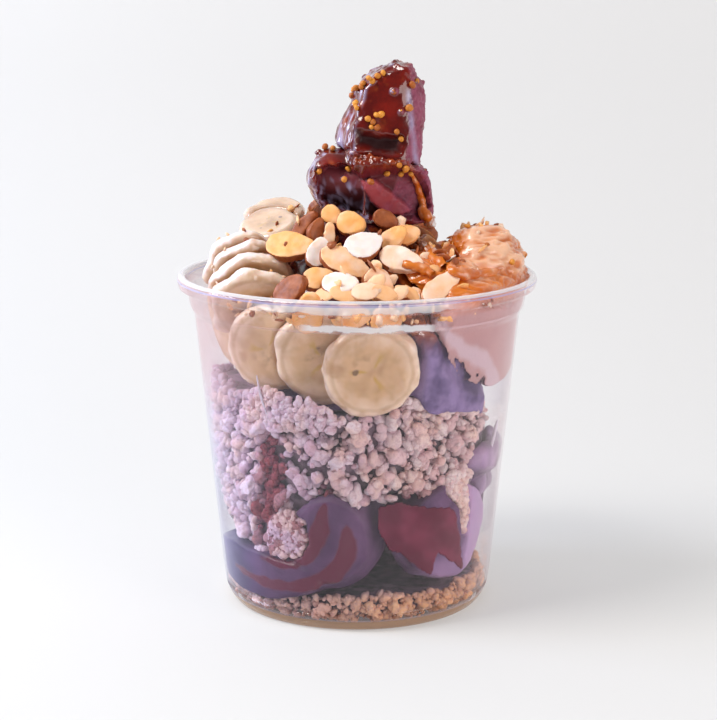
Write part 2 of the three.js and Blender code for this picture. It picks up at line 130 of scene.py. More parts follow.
class Material:
    """A named material; `add` makes any node of its tree."""

    def __init__(self, name):
        self.data = bpy.data.materials.new(name)
        self.data.use_nodes = True
        self.tree = self.data.node_tree
        self.tree.nodes.clear()

    def add(self, kind, settings, values, output=0):
        node = self.tree.nodes.new("ShaderNode" + kind)
        for name, value in settings.items():
            setattr(node, name, value)
        for name, value in values.items():
            if isinstance(value, Value):
                self.tree.links.new(value.socket, node.inputs[name])
            else:
                node.inputs[name].default_value = value
        return Value(self, node.outputs[output])

    def place(self):
        return self.add("TexCoord", {}, {}, "Object")

    def along(self, axis, of=None):
        """How far along X, Y or Z the place on the piece is, in metres, or another vector reaches."""
        return self.add("SeparateXYZ", {}, {0: of or self.place()}, axis)

    def spots(self, size, detail=3, rough=0.55):
        """Cloudy noise from 0 to 1 whose blots are about `size` mm across."""
        values = {"Vector": self.place(), "Scale": 1 / (size * MM), "Detail": detail, "Roughness": rough}
        return self.add("TexNoise", {}, values)

    def attribute(self, name, output="Fac"):
        return self.add("Attribute", {"attribute_name": name}, {}, output)

    def mix(self, share, a, b):
        """A colour that goes from a to b as the share goes from 0 to 1."""
        a, b = [(*c, 1) if isinstance(c, tuple) else c for c in (a, b)]
        return self.add("Mix", {"data_type": "RGBA"}, {0: share, 6: a, 7: b}, 2)

    def bump(self, height, distance, strength):
        """Small relief, `distance` mm deep, as a normal."""
        return self.add("Bump", {}, {"Height": height, "Distance": distance * MM, "Strength": strength})

    def surface(self, shader):
        output = self.tree.nodes.new("ShaderNodeOutputMaterial")
        self.tree.links.new(shader.socket, output.inputs["Surface"])
        return self.data

    def principled(self, values):
        """A Principled surface; colours may be plain (r, g, b)."""
        values = {k: (*v, 1) if isinstance(v, tuple) and k.endswith(("Color", "Tint")) else v
                  for k, v in values.items()}
        return self.add("BsdfPrincipled", {}, values)


def build(name, points, faces, material):
    """A smooth mesh object from points in metres."""
    mesh = bpy.data.meshes.new(name)
    mesh.from_pydata(points, [], faces)
    mesh.polygons.foreach_set("use_smooth", [True] * len(mesh.polygons))
    mesh.update()
    mesh.materials.append(material)
    made = bpy.data.objects.new(name, mesh)
    scene.collection.objects.link(made)
    return made


CARD_BEFORE, CARD_BEHIND, CARD_CURVE, CARD_TOP, CARD_WIDTH = -900, 260, 160, 1100, 1400
CARD_STEPS = 12
card = Material("card")
card_side = [(CARD_BEFORE, 0)]
for step in range(CARD_STEPS + 1):
    turn = math.radians(90 * step / CARD_STEPS)
    card_side.append((CARD_BEHIND - CARD_CURVE * (1 - math.sin(turn)), CARD_CURVE * (1 - math.cos(turn))))
card_side.append((CARD_BEHIND, CARD_TOP))
card_points = [(side * CARD_WIDTH * MM, y * MM, z * MM) for y, z in card_side for side in (-1, 1)]
card_faces = [(2 * i, 2 * i + 1, 2 * i + 3, 2 * i + 2) for i in range(len(card_side) - 1)]
card_front = card.principled({
    "Base Color": (0.45, 0.45, 0.45), "Roughness": 0.9, "Specular IOR Level": 0.1,
    "Emission Color": (1, 1, 1), "Emission Strength": 0.35})
from_behind = card.add("NewGeometry", {}, {}, "Backfacing")  # lets the cup be seen from behind
card_surface = card.surface(card.add("MixShader", {}, {
    0: from_behind, 1: card_front, 2: card.add("BsdfTransparent", {}, {})}))
backdrop = build("backdrop", card_points, card_faces, card_surface)

# ---------------------------------------------------------------- cup
# A thin clear plastic deli cup with a rolled lip, a stacking ledge under its neck and a foot ring.
# It is pressed from one sheet. Frost and scuffs veil it in lilac; painted reflection tints the veil
# bluish at the left and pink at the right, and painted highlights run in thin lines at the lip and
# ledge; the food touches its inside.
WALL = 0.9
LOW, LEDGE, NECK = (43.4, 8.0), (52.0, 95.5), (54.0, 101.5)  # inside radius and height
STEP, FLOOR = 2.5, 2  # the ledge's height, and the floor's
FOOT_TUCK = 8.3  # how much the inside narrows below LOW
HALFWAY = 46  # the wall's radius halfway up, which makes lengths of angles round it


def unit(values):
    """Values held between 0 and 1."""
    return np.clip(values, 0, 1)


def wall_radius(z):
    """The cup's inside radius at a height, both in mm."""
    z = np.asarray(z, float)
    low = LOW[0] + (z - LOW[1]) * (LEDGE[0] - LOW[0]) / (LEDGE[1] - LOW[1])
    low = low - FOOT_TUCK * unit(1 - z / LOW[1]) ** 3.3
    rise = unit((z - LEDGE[1]) / (NECK[1] - LEDGE[1]))
    step = unit((z - LEDGE[1]) / 3)
    high = LEDGE[0] + (NECK[0] - LEDGE[0]) * (0.45 * step * step * (3 - 2 * step) + 0.55 * rise)
    return np.where(z > LEDGE[1], high, low)


def rounded(corners, steps=5):
    """A profile through (r, z, fillet) corners, each rounded by about its fillet."""
    points = []
    for i, (r, z, fillet) in enumerate(corners):
        here = np.array((r, z), float)
        if fillet == 0:
            points.append(here)
            continue
        ends = []
        for near in (corners[i - 1], corners[i + 1]):
            way = np.array(near[:2], float) - here
            ends.append(here + way * min(0.5, fillet / np.linalg.norm(way)))
        for s in np.linspace(0, 1, steps):
            points.append((1 - s) ** 2 * ends[0] + 2 * s * (1 - s) * here + s * s * ends[1])
    return np.array(points)


def around(angle, reach, z):
    """Places at an angle round the cup from the front, in radians, a reach from its middle and a height."""
    return np.stack(np.broadcast_arrays(reach * np.sin(angle), -reach * np.cos(angle), z), -1)


def mark(made, name, values):
    """Gives each point of a piece a value, or a triple, that its material reads."""
    values = np.asarray(values, np.float32)
    kind, field = ("FLOAT_VECTOR", "vector") if values.ndim == 2 else ("FLOAT", "value")
    attribute = made.data.attributes.new(name, kind, "POINT")
    attribute.data.foreach_set(field, values.ravel())


def tube_faces(rings, sides):
    """The faces between rings of points, one ring after another."""
    return [(a + i, a + (i + 1) % sides, a + sides + (i + 1) % sides, a + sides + i)
            for a in range(0, (rings - 1) * sides, sides) for i in range(sides)]


FOOT, RIM, TOP = 41.0, 58.5, 108.0
outer_skin = rounded([
    (0, 1, 0), (FOOT - 3, 1, 0.5), (FOOT - 2.2, 0, 0.4), (FOOT, 0, 0.8), (43.4, 3.2, 2.5),
    (LOW[0] + WALL, 8, 4), (LEDGE[0] + WALL, LEDGE[1], 0.5), (LEDGE[0] + WALL + 1.35, LEDGE[1] + STEP, 0.6),
    (NECK[0] + WALL, NECK[1], 0.5), (NECK[0] + WALL + 0.3, NECK[1] + 1.6, 0.4),
    (RIM - 0.6, NECK[1] + 2.4, 0.6), (RIM, TOP - 1.3, 1.0),
    (RIM - 1.1, TOP, 0.8), (RIM - 2.5, TOP, 0.8), (RIM - 3.5, TOP - 1.8, 0),
])
inner_skin = rounded([
    (NECK[0] + 0.4, NECK[1] + 1.5, 0), (NECK[0], NECK[1], 0.6), (LEDGE[0] + 1.35, LEDGE[1] + STEP, 0.6),
    (LEDGE[0], LEDGE[1], 0.5), (LOW[0], LOW[1], 4), (42.3, 3.9, 2.5), (FOOT - 1.3, FLOOR, 1.2),
    (0, FLOOR, 0),
])
ROUND = 192
cup_side = np.vstack([outer_skin, inner_skin])
turn = np.arange(ROUND) * 2 * math.pi / ROUND
cup_points = np.concatenate([around(turn, r, z) for r, z in cup_side[1:-1]])
cup_points = np.vstack([cup_points, (0, 0, cup_side[0, 1]), (0, 0, cup_side[-1, 1])]) * MM
cup_faces = tube_faces(len(cup_side) - 2, ROUND)
last = (len(cup_side) - 3) * ROUND
cup_faces += [((i + 1) % ROUND, i, len(cup_points) - 2) for i in range(ROUND)]
cup_faces += [(last + i, last + (i + 1) % ROUND, len(cup_points) - 1) for i in range(ROUND)]

plastic = Material("clear_plastic")
outside = plastic.attribute("outside")
across, depth, height = [plastic.along(axis) for axis in "XYZ"]
facing = plastic.add("LayerWeight", {}, {"Blend": 0.5}, "Facing")
sheen = 0.022 + facing.math("POWER", 5) * 0.9
cloud = plastic.spots(26, 3)
# the marks on the plastic: a milky smear at the ledge, a haze under the lip, painted highlights in
# thin lines at the lip, just under it and at the ledge, and the darker foot
ragged = height + (plastic.spots(6, 4) - 0.5) * 0.004
before = depth.between(-0.03, -0.04)
milky = ragged.between(0.0975, 0.0982) * ragged.between(0.1004, 0.0996)
milky = milky * across.between(-0.020, -0.014) * across.between(0.026, 0.021) * before
under_lip = ragged.between(0.1038, 0.1044) * height.between(0.1068, 0.1062)
under_lip = under_lip * across.between(-0.045, -0.02) * across.between(0.04, 0.02) * before
# painted highlights: a white line along the top of the lip, a lilac one just under it, and a faint one at the
# ledge
lip_highlight = height.between(0.1070, 0.1073)
lilac_highlight = height.between(0.1061, 0.1063) * height.between(0.1069, 0.1067)
ledge_highlight = height.between(0.0972, 0.0977) * height.between(0.0985, 0.0981)
foot = height.between(0.0042, 0.0032)
# painted reflection: the veil is painted bluish lilac low on the left, rose higher up on the left and pink on
# the right
left_reflection_tint = plastic.mix(height.between(0.05, 0.085), (0.46, 0.46, 0.74), (0.70, 0.42, 0.44))
veil_colour = plastic.mix(across.between(-0.045, 0.045), left_reflection_tint, (0.93, 0.70, 0.76))
veil_colour = plastic.mix(foot, veil_colour, (0.42, 0.24, 0.13))
white = milky.math("MAXIMUM", under_lip).math("MAXIMUM", lip_highlight)
veil_colour = plastic.mix(white, veil_colour, (0.9, 0.92, 0.96))
veil_colour = plastic.mix(lilac_highlight, veil_colour, (0.50, 0.50, 0.85))
haze = cloud.between(0.3, 0.75, 0.006, 0.03) + facing.math("POWER", 3) * 0.42 + foot * 0.6
# painted reflection: the veil is thicker near the left edge
haze = haze + across.between(-0.022, -0.047) * height.between(0.055, 0.09) * 0.22
haze = haze.math("MAXIMUM", milky * 0.75).math("MAXIMUM", under_lip * 0.5).math("MAXIMUM", lip_highlight * 0.5)
haze = haze.math("MAXIMUM", lilac_highlight * 0.5).math("MAXIMUM", ledge_highlight * 0.3)
clear = plastic.add("BsdfTransparent", {}, {"Color": (0.99, 0.985, 0.99, 1)})
veil = plastic.principled({"Base Color": veil_colour, "Roughness": 1.0, "Specular IOR Level": 0.0})
body = plastic.add("MixShader", {}, {0: outside * haze, 1: clear, 2: veil})
gloss = plastic.add("BsdfGlossy", {}, {"Color": (1, 1, 1, 1), "Roughness": 0.05})
cup_surface = plastic.surface(plastic.add("MixShader", {}, {0: sheen, 1: body, 2: gloss}))
cup = build("cup_shell", cup_points, cup_faces, cup_surface)
mark(cup, "outside", np.arange(len(cup_points)) < (len(outer_skin) - 1) * ROUND)
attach(cup, "root")
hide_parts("cup")

# ---------------------------------------------------------------- soft acai low in the cup
# Scoops of half-melted frozen acai, pressed against the wall, where red juice has run in bands.
# Each is spooned in and slumps; its skin is matt purple, and wet where it touches the plastic.
gradients = np.random.default_rng(7).normal(size=(251, 3))
gradients /= np.linalg.norm(gradients, axis=1)[:, None]
PRIMES = (73856093, 19349663, 83492791)  # they spread neighbouring cells over the gradients


def grain(points, size, octaves=2, seed=0):
    """Smooth noise of about -1 to 1 at points, in mm, whose lumps are about `size` mm across."""
    total = np.zeros(len(points))
    for octave in range(octaves):
        p = points / size * 2 ** octave + 31.7 * seed + 5.3 * octave
        cell = np.floor(p).astype(np.int64)
        f = p - cell
        s = f * f * (3 - 2 * f)
        for corner in product((0, 1), repeat=3):
            c = cell + corner
            spread = c[:, 0] * PRIMES[0] ^ c[:, 1] * PRIMES[1] ^ c[:, 2] * PRIMES[2]
            way = gradients[spread % len(gradients)]
            weight = np.prod(np.where(corner, s, 1 - s), axis=1)
            total += weight * np.sum(way * (f - corner), axis=1) * 1.7 / 2 ** octave
    return total


def reach_of(points):
    """How far points are from the cup's middle line."""
    return np.hypot(points[:, 0], points[:, 1])


def inside_wall(points):
    """How far points are inside the wall."""
    return wall_radius(points[:, 2]) - reach_of(points)


def points_of(mesh):
    """A mesh's points in mm."""
    found = np.zeros(len(mesh.vertices) * 3)
    mesh.vertices.foreach_get("co", found)
    return found.reshape(-1, 3) / MM


def move_to(mesh, points):
    mesh.vertices.foreach_set("co", (points * MM).ravel())
    mesh.update()


def normals_of(mesh):
    found = np.zeros(len(mesh.vertices) * 3, np.float32)
    mesh.vertex_normals.foreach_get("vector", found)
    return found.reshape(-1, 3).astype(float)


def press(points, near=0.9, soft=2.2, into=0.15):
    """Spreads what is near the cup's wall flat against it, and just into it."""
    r = reach_of(points)
    inside = wall_radius(points[:, 2]) - r
    share = unit((inside - near) / soft)
    target = np.where(inside < near, -into, -into + (near + soft + into) * share)
    target = np.where(inside > near + soft, inside, target)
    pull = np.where(points[:, 2] < TOP - 6, (wall_radius(points[:, 2]) - target) / np.maximum(r, 1), 1)
    return points * np.stack([pull, pull, np.ones(len(pull))], 1)


def soft_copy(name, node, fine, rounds, material, grow=0.2):
    """A copy of a CAD solid in small even faces, `fine` mm across, its facets melted together."""
    copy = bpy.data.objects.new(name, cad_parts[node].data.copy())
    scene.collection.objects.link(copy)
    remesh = copy.modifiers.new("even", "REMESH")
    remesh.mode, remesh.voxel_size, remesh.use_smooth_shade = "VOXEL", fine * MM, True
    melt = copy.modifiers.new("melt", "SMOOTH")
    melt.factor, melt.iterations = 0.5, rounds
    bpy.context.view_layer.update()
    shape = bpy.data.meshes.new_from_object(copy.evaluated_get(bpy.context.evaluated_depsgraph_get()))
    copy.modifiers.clear()
    copy.data = shape
    shape.materials.clear()
    shape.materials.append(material)
    shape.polygons.foreach_set("use_smooth", [True] * len(shape.polygons))
    move_to(shape, points_of(shape) + grow * normals_of(shape))
    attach(copy, "root")
    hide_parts(node)
    return copy


def on_wall(points):
    """Distance round the wall from the front, and height, in mm."""
    return np.stack([np.arctan2(points[:, 0], -points[:, 1]) * HALFWAY, points[:, 2]], 1)


def unrolled(stops):
    """Stops whose first number is an angle, in degrees, with a length round the wall in its place."""
    return np.array([(math.radians(angle) * HALFWAY, *rest) for angle, *rest in stops])


def cut_corners(line, rounds):
    """An open line with its corners cut again and again, which rounds it."""
    for _ in range(rounds):
        cuts = [(0.75 * a + 0.25 * b, 0.25 * a + 0.75 * b) for a, b in zip(line, line[1:])]
        line = np.vstack([line[:1], *cuts, line[-1:]])
    return line


def stroke(at, stops):
    """How far points lie outside a brush stroke; each stop is (distance along, height, half width)."""
    best = np.full(len(at), 1e9)
    line = cut_corners(np.array(stops, float), 2)
    for start, end in zip(line, line[1:]):
        along, offset = (end - start)[:2], at - start[:2]
        t = unit(offset @ along / (along @ along))
        gap = np.hypot(*(offset - t[:, None] * along).T) - (start[2] + (end[2] - start[2]) * t)
        best = np.minimum(best, gap)
    return best


def outside_outline(at, corners):
    """How far points of a plane lie outside a closed outline, negative inside."""
    ring = np.array(corners, float)
    gap, inside = np.full(len(at), 1e9), np.zeros(len(at), bool)
    for start, end in zip(ring, np.roll(ring, -1, axis=0)):
        along = end - start
        offset = at - start
        t = unit(offset @ along / (along @ along))
        gap = np.minimum(gap, np.hypot(*(offset - t[:, None] * along).T))
        crosses = (start[1] > at[:, 1]) != (end[1] > at[:, 1])
        where = start[0] + (at[:, 1] - start[1]) * along[0] / np.where(along[1] == 0, 1, along[1])
        inside ^= crosses & (at[:, 0] < where)
    return np.where(inside, -gap, gap)


def flesh(weight, radius):
    """Light sinks under the skin, this far in mm in red, green and blue."""
    return {"Subsurface Weight": weight, "Subsurface Radius": radius, "Subsurface Scale": MM}


low_flesh = Material("low_acai")
wet, pale = low_flesh.attribute("wet"), low_flesh.attribute("pale")
side = low_flesh.along("X")
clouds = low_flesh.spots(14, 4)
# painted shade: darker and bluer towards the left
dark = low_flesh.mix(side.between(-0.044, -0.026), (0.035, 0.022, 0.10), (0.08, 0.036, 0.095))
light = low_flesh.mix(side.between(-0.044, -0.026), (0.095, 0.06, 0.22), (0.18, 0.085, 0.19))
colour = low_flesh.mix(clouds.between(0.35, 0.7), dark, light)
fine = low_flesh.spots(1.6, 4, 0.65)
colour = low_flesh.mix(fine.between(0.35, 0.75) * 0.35, colour, dark)
colour = low_flesh.mix(pale, colour, low_flesh.mix(clouds, (0.36, 0.21, 0.46), (0.64, 0.42, 0.66)))
juice_red = low_flesh.mix(clouds, (0.105, 0.012, 0.036), (0.175, 0.028, 0.064))
colour = low_flesh.mix(wet.between(0.25, 0.75), colour, juice_red)
low_surface = low_flesh.surface(low_flesh.principled({
    "Base Color": colour, "Roughness": wet.between(0.2, 0.8, 0.5, 0.25), "Specular IOR Level": 0.35,
    **flesh(0.12, (3, 1.2, 1.4)),
    "Normal": low_flesh.bump(fine, 0.25, 0.5)}))
JUICE_BANDS = [
    # a crescent of juice and a darker ring above it, seen through the front left
    [(-4.2, 36, 0.6), (-3.4, 31, 2.8), (-3.9, 26, 3.2), (-8.5, 20.2, 3.5), (-16, 16, 2.6), (-26, 13.9, 1.8),
     (-37, 13.2, 1.6), (-50, 13.6, 1.2), (-62, 15, 0.8)],
    [(-12.4, 42, 1.3), (-14.5, 35, 2.9), (-17.2, 28, 3.3), (-23, 23.4, 2.8), (-32, 21, 1.8), (-42, 21.5, 1)],
]
PRESSED = [
    # outlines on the wall where clumps of granola are pressed into the soft acai, and how many
    ([(-41, 27.5), (-36, 35), (-28.5, 39), (-20.8, 36), (-20.1, 28.8), (-23.7, 24.3), (-34.4, 22.4)], 210),
    ([(-48, 66), (-47, 75), (-38, 78.3), (-27, 78.3), (-20, 76), (-13, 73.5), (-6, 72.3), (-3, 69), (-10, 66),
      (-30, 65)], 190),
    ([(39, 52), (49, 47), (51.5, 38), (51, 28.2), (48, 28.2), (45, 38), (37, 44)], 120),
]
DENT = 3.6  # how deep they press it in
LOW_PIECES = [
    # name, CAD solid, bumps in mm
    ("scoop_left", "acai_low_left", 0.5),
    ("scoop_right", "acai_low_right", 0.8),
    ("scoop_back", "acai_low_back", 0.8),
    ("scoop_side", "acai_side", 1.2),
]
for number, (name, node, bumps) in enumerate(LOW_PIECES):
    scoop = soft_copy(name, node, 0.9, 16, low_surface, 0.45)
    p = points_of(scoop.data)
    p += normals_of(scoop.data) * (bumps * grain(p, 11, 3, number))[:, None]
    p = press(p)
    at = on_wall(p)
    angle = np.degrees(at[:, 0] / HALFWAY)
    pressed = np.min([outside_outline(at, unrolled(outline)) for outline, _ in PRESSED], axis=0)
    dent = DENT * unit(0.5 - pressed / 1.6)
    r = reach_of(p)
    p[:, :2] *= (np.minimum(r, wall_radius(p[:, 2]) - dent + 0.15) / r)[:, None]
    wet, pale = 0.15 + 0.8 * grain(p, 17, 2, number + 4), np.zeros(len(p))
    if node == "acai_low_left":
        near_wall = inside_wall(p) < 1.5
        bands = np.min([stroke(at, unrolled(band)) for band in JUICE_BANDS], axis=0) + 0.8 * grain(p, 5, 2, 3)
        wet = np.where(near_wall, unit(0.5 - bands / 2), 0.1)
    elif node == "acai_low_right":
        front = angle < 120
        pale = unit((angle - 46) / 7 + 0.5 * grain(p, 5, 2, 8)) * front
        p[:, :2] *= 1 - 0.04 * unit((angle - 50) / 12)[:, None] * front[:, None]
        pale = np.maximum(pale, 0.45 * unit((25 - p[:, 2]) / 5) * unit((angle - 24) / 6) * front)
        wet = np.where(front, 0, wet)
    elif node == "acai_side":
        pale, wet = unit(0.45 + 0.6 * grain(p, 8, 2, 5)), 0 * wet
    move_to(scoop.data, p)
    mark(scoop, "wet", wet)
    mark(scoop, "pale", pale)

# ---------------------------------------------------------------- upper acai
# More acai fills the cup above the granola and rises into the mound under the toppings. It shows
# purple beside the bananas and, between the almonds, dark and glazed.
glaze = Material("upper_acai")
up = glaze.along("Z")
above = up.between(0.088, 0.1)
clouds = glaze.spots(12, 4)
purple = glaze.mix(clouds.between(0.38, 0.62), (0.085, 0.05, 0.16), (0.29, 0.20, 0.42))
side = glaze.along("X")
syrup = glaze.mix(side.between(-0.005, 0.02), (0.10, 0.008, 0.01), (0.34, 0.08, 0.012))
syrup = glaze.mix(glaze.spots(5, 4).between(0.42, 0.6), syrup, (0.045, 0.006, 0.008))
fine = glaze.spots(1.8, 4, 0.65)
upper_surface = glaze.surface(glaze.principled({
    "Base Color": glaze.mix(above, purple, syrup), "Roughness": above.between(0, 1, 0.5, 0.2),
    "Specular IOR Level": 0.5, "Coat Weight": above * 0.25, "Coat Roughness": 0.1,
    "Normal": glaze.bump(fine, 0.3, 0.5)}))
upper = soft_copy("upper_acai", "acai_upper", 1.05, 18, upper_surface, 0.5)


def tree_of(thing):
    """The faces of an object as a tree that finds the nearest place and where a ray meets it."""
    return BVHTree.FromPolygons([v.co.copy() for v in thing.data.vertices],
                                [q.vertices[:] for q in thing.data.polygons])


def gap_to(node, points):
    """How far points, in mm, are from a CAD solid's skin, up to 9 mm."""
    found = [trees_of_all[node].find_nearest(Vector(q * MM), 9 * MM)[3] for q in points]
    return np.array([9.0 if gap is None else gap / MM for gap in found])


trees_of_all = {name: tree_of(solid) for name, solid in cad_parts.items()}
p = points_of(upper.data)
p += normals_of(upper.data) * (1.1 * grain(p, 10, 3, 12))[:, None]
p = press(p, 1.4, into=0.05)
step_back = 1.9 * unit(1.2 - gap_to("nut_butter", p) / 2.6)  # so that the nut butter's edge shows
p[:, :2] *= (1 - step_back / np.maximum(reach_of(p), 20))[:, None]
move_to(upper.data, p)

# ---------------------------------------------------------------- granola
# Baked clumps of oats, from crumbs to lumps 6 mm across, heaped on the floor of the cup and in a
# thick band across its middle. Juice has stained some of them red. Behind them lies a core painted
# dark, as painted shade deep between the clumps.
oat_core = Material("granola_core_shade")
clouds = oat_core.spots(6, 3)
# painted shade: a dark core, dark grey to dark mauve
core_shade_surface = oat_core.surface(oat_core.principled({
    "Base Color": oat_core.mix(clouds.between(0.35, 0.65), (0.08, 0.07, 0.08), (0.30, 0.20, 0.26)),
    "Roughness": 0.9}))


BALLS = 15  # in a clump


def clump_shape(level, lobes, seed):
    """A unit lump of oats: the outside of a cluster of balls, like a burst corn."""
    ball = bmesh.new()
    bmesh.ops.create_icosphere(ball, subdivisions=level, radius=1)
    points = np.array([v.co for v in ball.verts])
    faces = np.array([[v.index for v in f.verts] for f in ball.faces])
    ball.free()
    random = np.random.default_rng(seed)
    ways = random.normal(size=(BALLS, 3))
    ways /= np.linalg.norm(ways, axis=1)[:, None]
    away, ball_size = lobes * random.uniform(0.7, 1.25, BALLS), random.uniform(0.36, 0.58, BALLS)
    along = points @ ways.T
    reach = away * along + np.sqrt(np.maximum(ball_size ** 2 - away ** 2 * (1 - along ** 2), 0))
    swell = np.maximum(reach.max(axis=1), 0.5) * (1 + 0.15 * grain(points, 0.3, 1, seed + 1))
    return points * swell[:, None], faces


def scatter(shapes, at, size, random, flat=0.75, long=1.15):
    """Joins one shape, turned and stretched at random, at each place; also gives each point's number."""
    points, faces, owner, start = [], [], [], 0
    for number, (centre, scale) in enumerate(zip(at, size)):
        shape, shape_faces = shapes[random.integers(len(shapes))]
        turn, _ = np.linalg.qr(random.normal(size=(3, 3)))
        stretch = scale * np.array([long, 0.95, flat]) * random.uniform(0.85, 1.15, 3)
        flip = np.linalg.det(turn) < 0
        points.append((shape * stretch) @ turn.T + centre)
        faces.append((shape_faces[:, ::-1] if flip else shape_faces) + start)
        owner.append(np.full(len(shape), number))
        start += len(shape)
    return np.concatenate(points), np.concatenate(faces), np.concatenate(owner)


def triangles_of(node):
    """The corners, in mm, normals and areas of a CAD solid's triangles."""
    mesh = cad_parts[node].data
    mesh.calc_loop_triangles()
    corners = points_of(mesh)[np.array([t.vertices[:] for t in mesh.loop_triangles])]
    cross = np.cross(corners[:, 1] - corners[:, 0], corners[:, 2] - corners[:, 0])
    twice = np.linalg.norm(cross, axis=1)
    return corners, cross / np.maximum(twice, 1e-9)[:, None], twice / 2


def on_surface(node, count, random, keep):
    """Even random places on the faces of a CAD solid that `keep` accepts, with their normals."""
    corners, normal, area = triangles_of(node)
    area = area * keep(corners.mean(axis=1), normal)
    chosen = random.choice(len(area), count, p=area / area.sum())
    a, b = random.random((2, count, 1))
    fold = a + b > 1
    a, b = np.where(fold, 1 - a, a), np.where(fold, 1 - b, b)
    c = corners[chosen]
    return c[:, 0] + a * (c[:, 1] - c[:, 0]) + b * (c[:, 2] - c[:, 0]), normal[chosen]


oats = Material("granola")
tone, stain, deep = oats.attribute("tone"), oats.attribute("stain"), oats.attribute("deep")
side, up = oats.along("X").between(-0.032, 0.03), oats.along("Z")
fine = oats.spots(1.5, 5, 0.75)
colour = oats.mix(tone, oats.mix(side, (0.78, 0.53, 0.70), (0.93, 0.58, 0.58)),
                  oats.mix(side, (1.0, 0.83, 1.0), (1.0, 0.84, 0.82)))
colour = oats.mix(oats.spots(9, 2).between(0.45, 0.65) * 0.5, colour, (1.0, 0.66, 0.52))
colour = oats.mix(up.between(0.016, 0.009) * (0.45 + side * 0.55), colour, (1.0, 0.53, 0.27))
colour = oats.mix(fine.between(0.38, 0.52), oats.mix(0.45, colour, (0.56, 0.30, 0.36)), colour)
colour = oats.mix(stain, colour, oats.mix(fine.between(0.4, 0.6), (0.16, 0.012, 0.03), (0.42, 0.09, 0.11)))
# painted shade: darker and purple the deeper a point lies inside the wall
colour = oats.mix(deep * 0.5, colour, (0.20, 0.11, 0.20))
oat_surface = oats.surface(oats.principled({
    "Base Color": colour, "Roughness": 0.75, "Specular IOR Level": 0.3,
    **flesh(0.1, (2, 1.2, 0.8)),
    "Normal": oats.bump(fine, 0.9, 0.9)}))
big = [clump_shape(3, 0.5, s) for s in range(10)]
middling = [clump_shape(2, 0.45, s + 10) for s in range(10)]
small = [clump_shape(2, 0.4, s + 20) for s in range(6)]
STAINED = [(-36, 59, 4), (-35, 51, 5.5), (-38, 42, 5), (-43, 34, 4.5), (-45, 28, 3.5)]
SPLASHES = [STAINED, [(-12.1, 46, 2.5), (-13.5, 40.5, 3)], [(36, 41, 2.5), (20, 44, 1.5)]]
VOIDS = [
    # holes between the clumps on the left, where the core's painted shade shows
    [(-29, 55.3, 0.8), (-21, 53.8, 1.4), (-17, 52.2, 0.8)], [(-28.5, 49, 1.2), (-25, 46.3, 1.4)],
    [(-28, 42.3, 1.3), (-22.5, 40.3, 2.6), (-20, 38.5, 1.5)], [(-20.6, 66.4, 0.9), (-26, 69.7, 0.6)],
    [(15.9, 66, 1), (17, 64.4, 1)], [(23.3, 42.8, 1.4), (26, 42, 1)],
]


def side_faces(centre, normal):
    """The granola's faces near the wall, those of the front half twice as often as the others."""
    front = np.where(centre[:, 1] < 8, 1.0, 0.5)
    return front * (np.abs(normal[:, 2]) < 0.8) * (reach_of(centre) > 0.72 * wall_radius(centre[:, 2]))


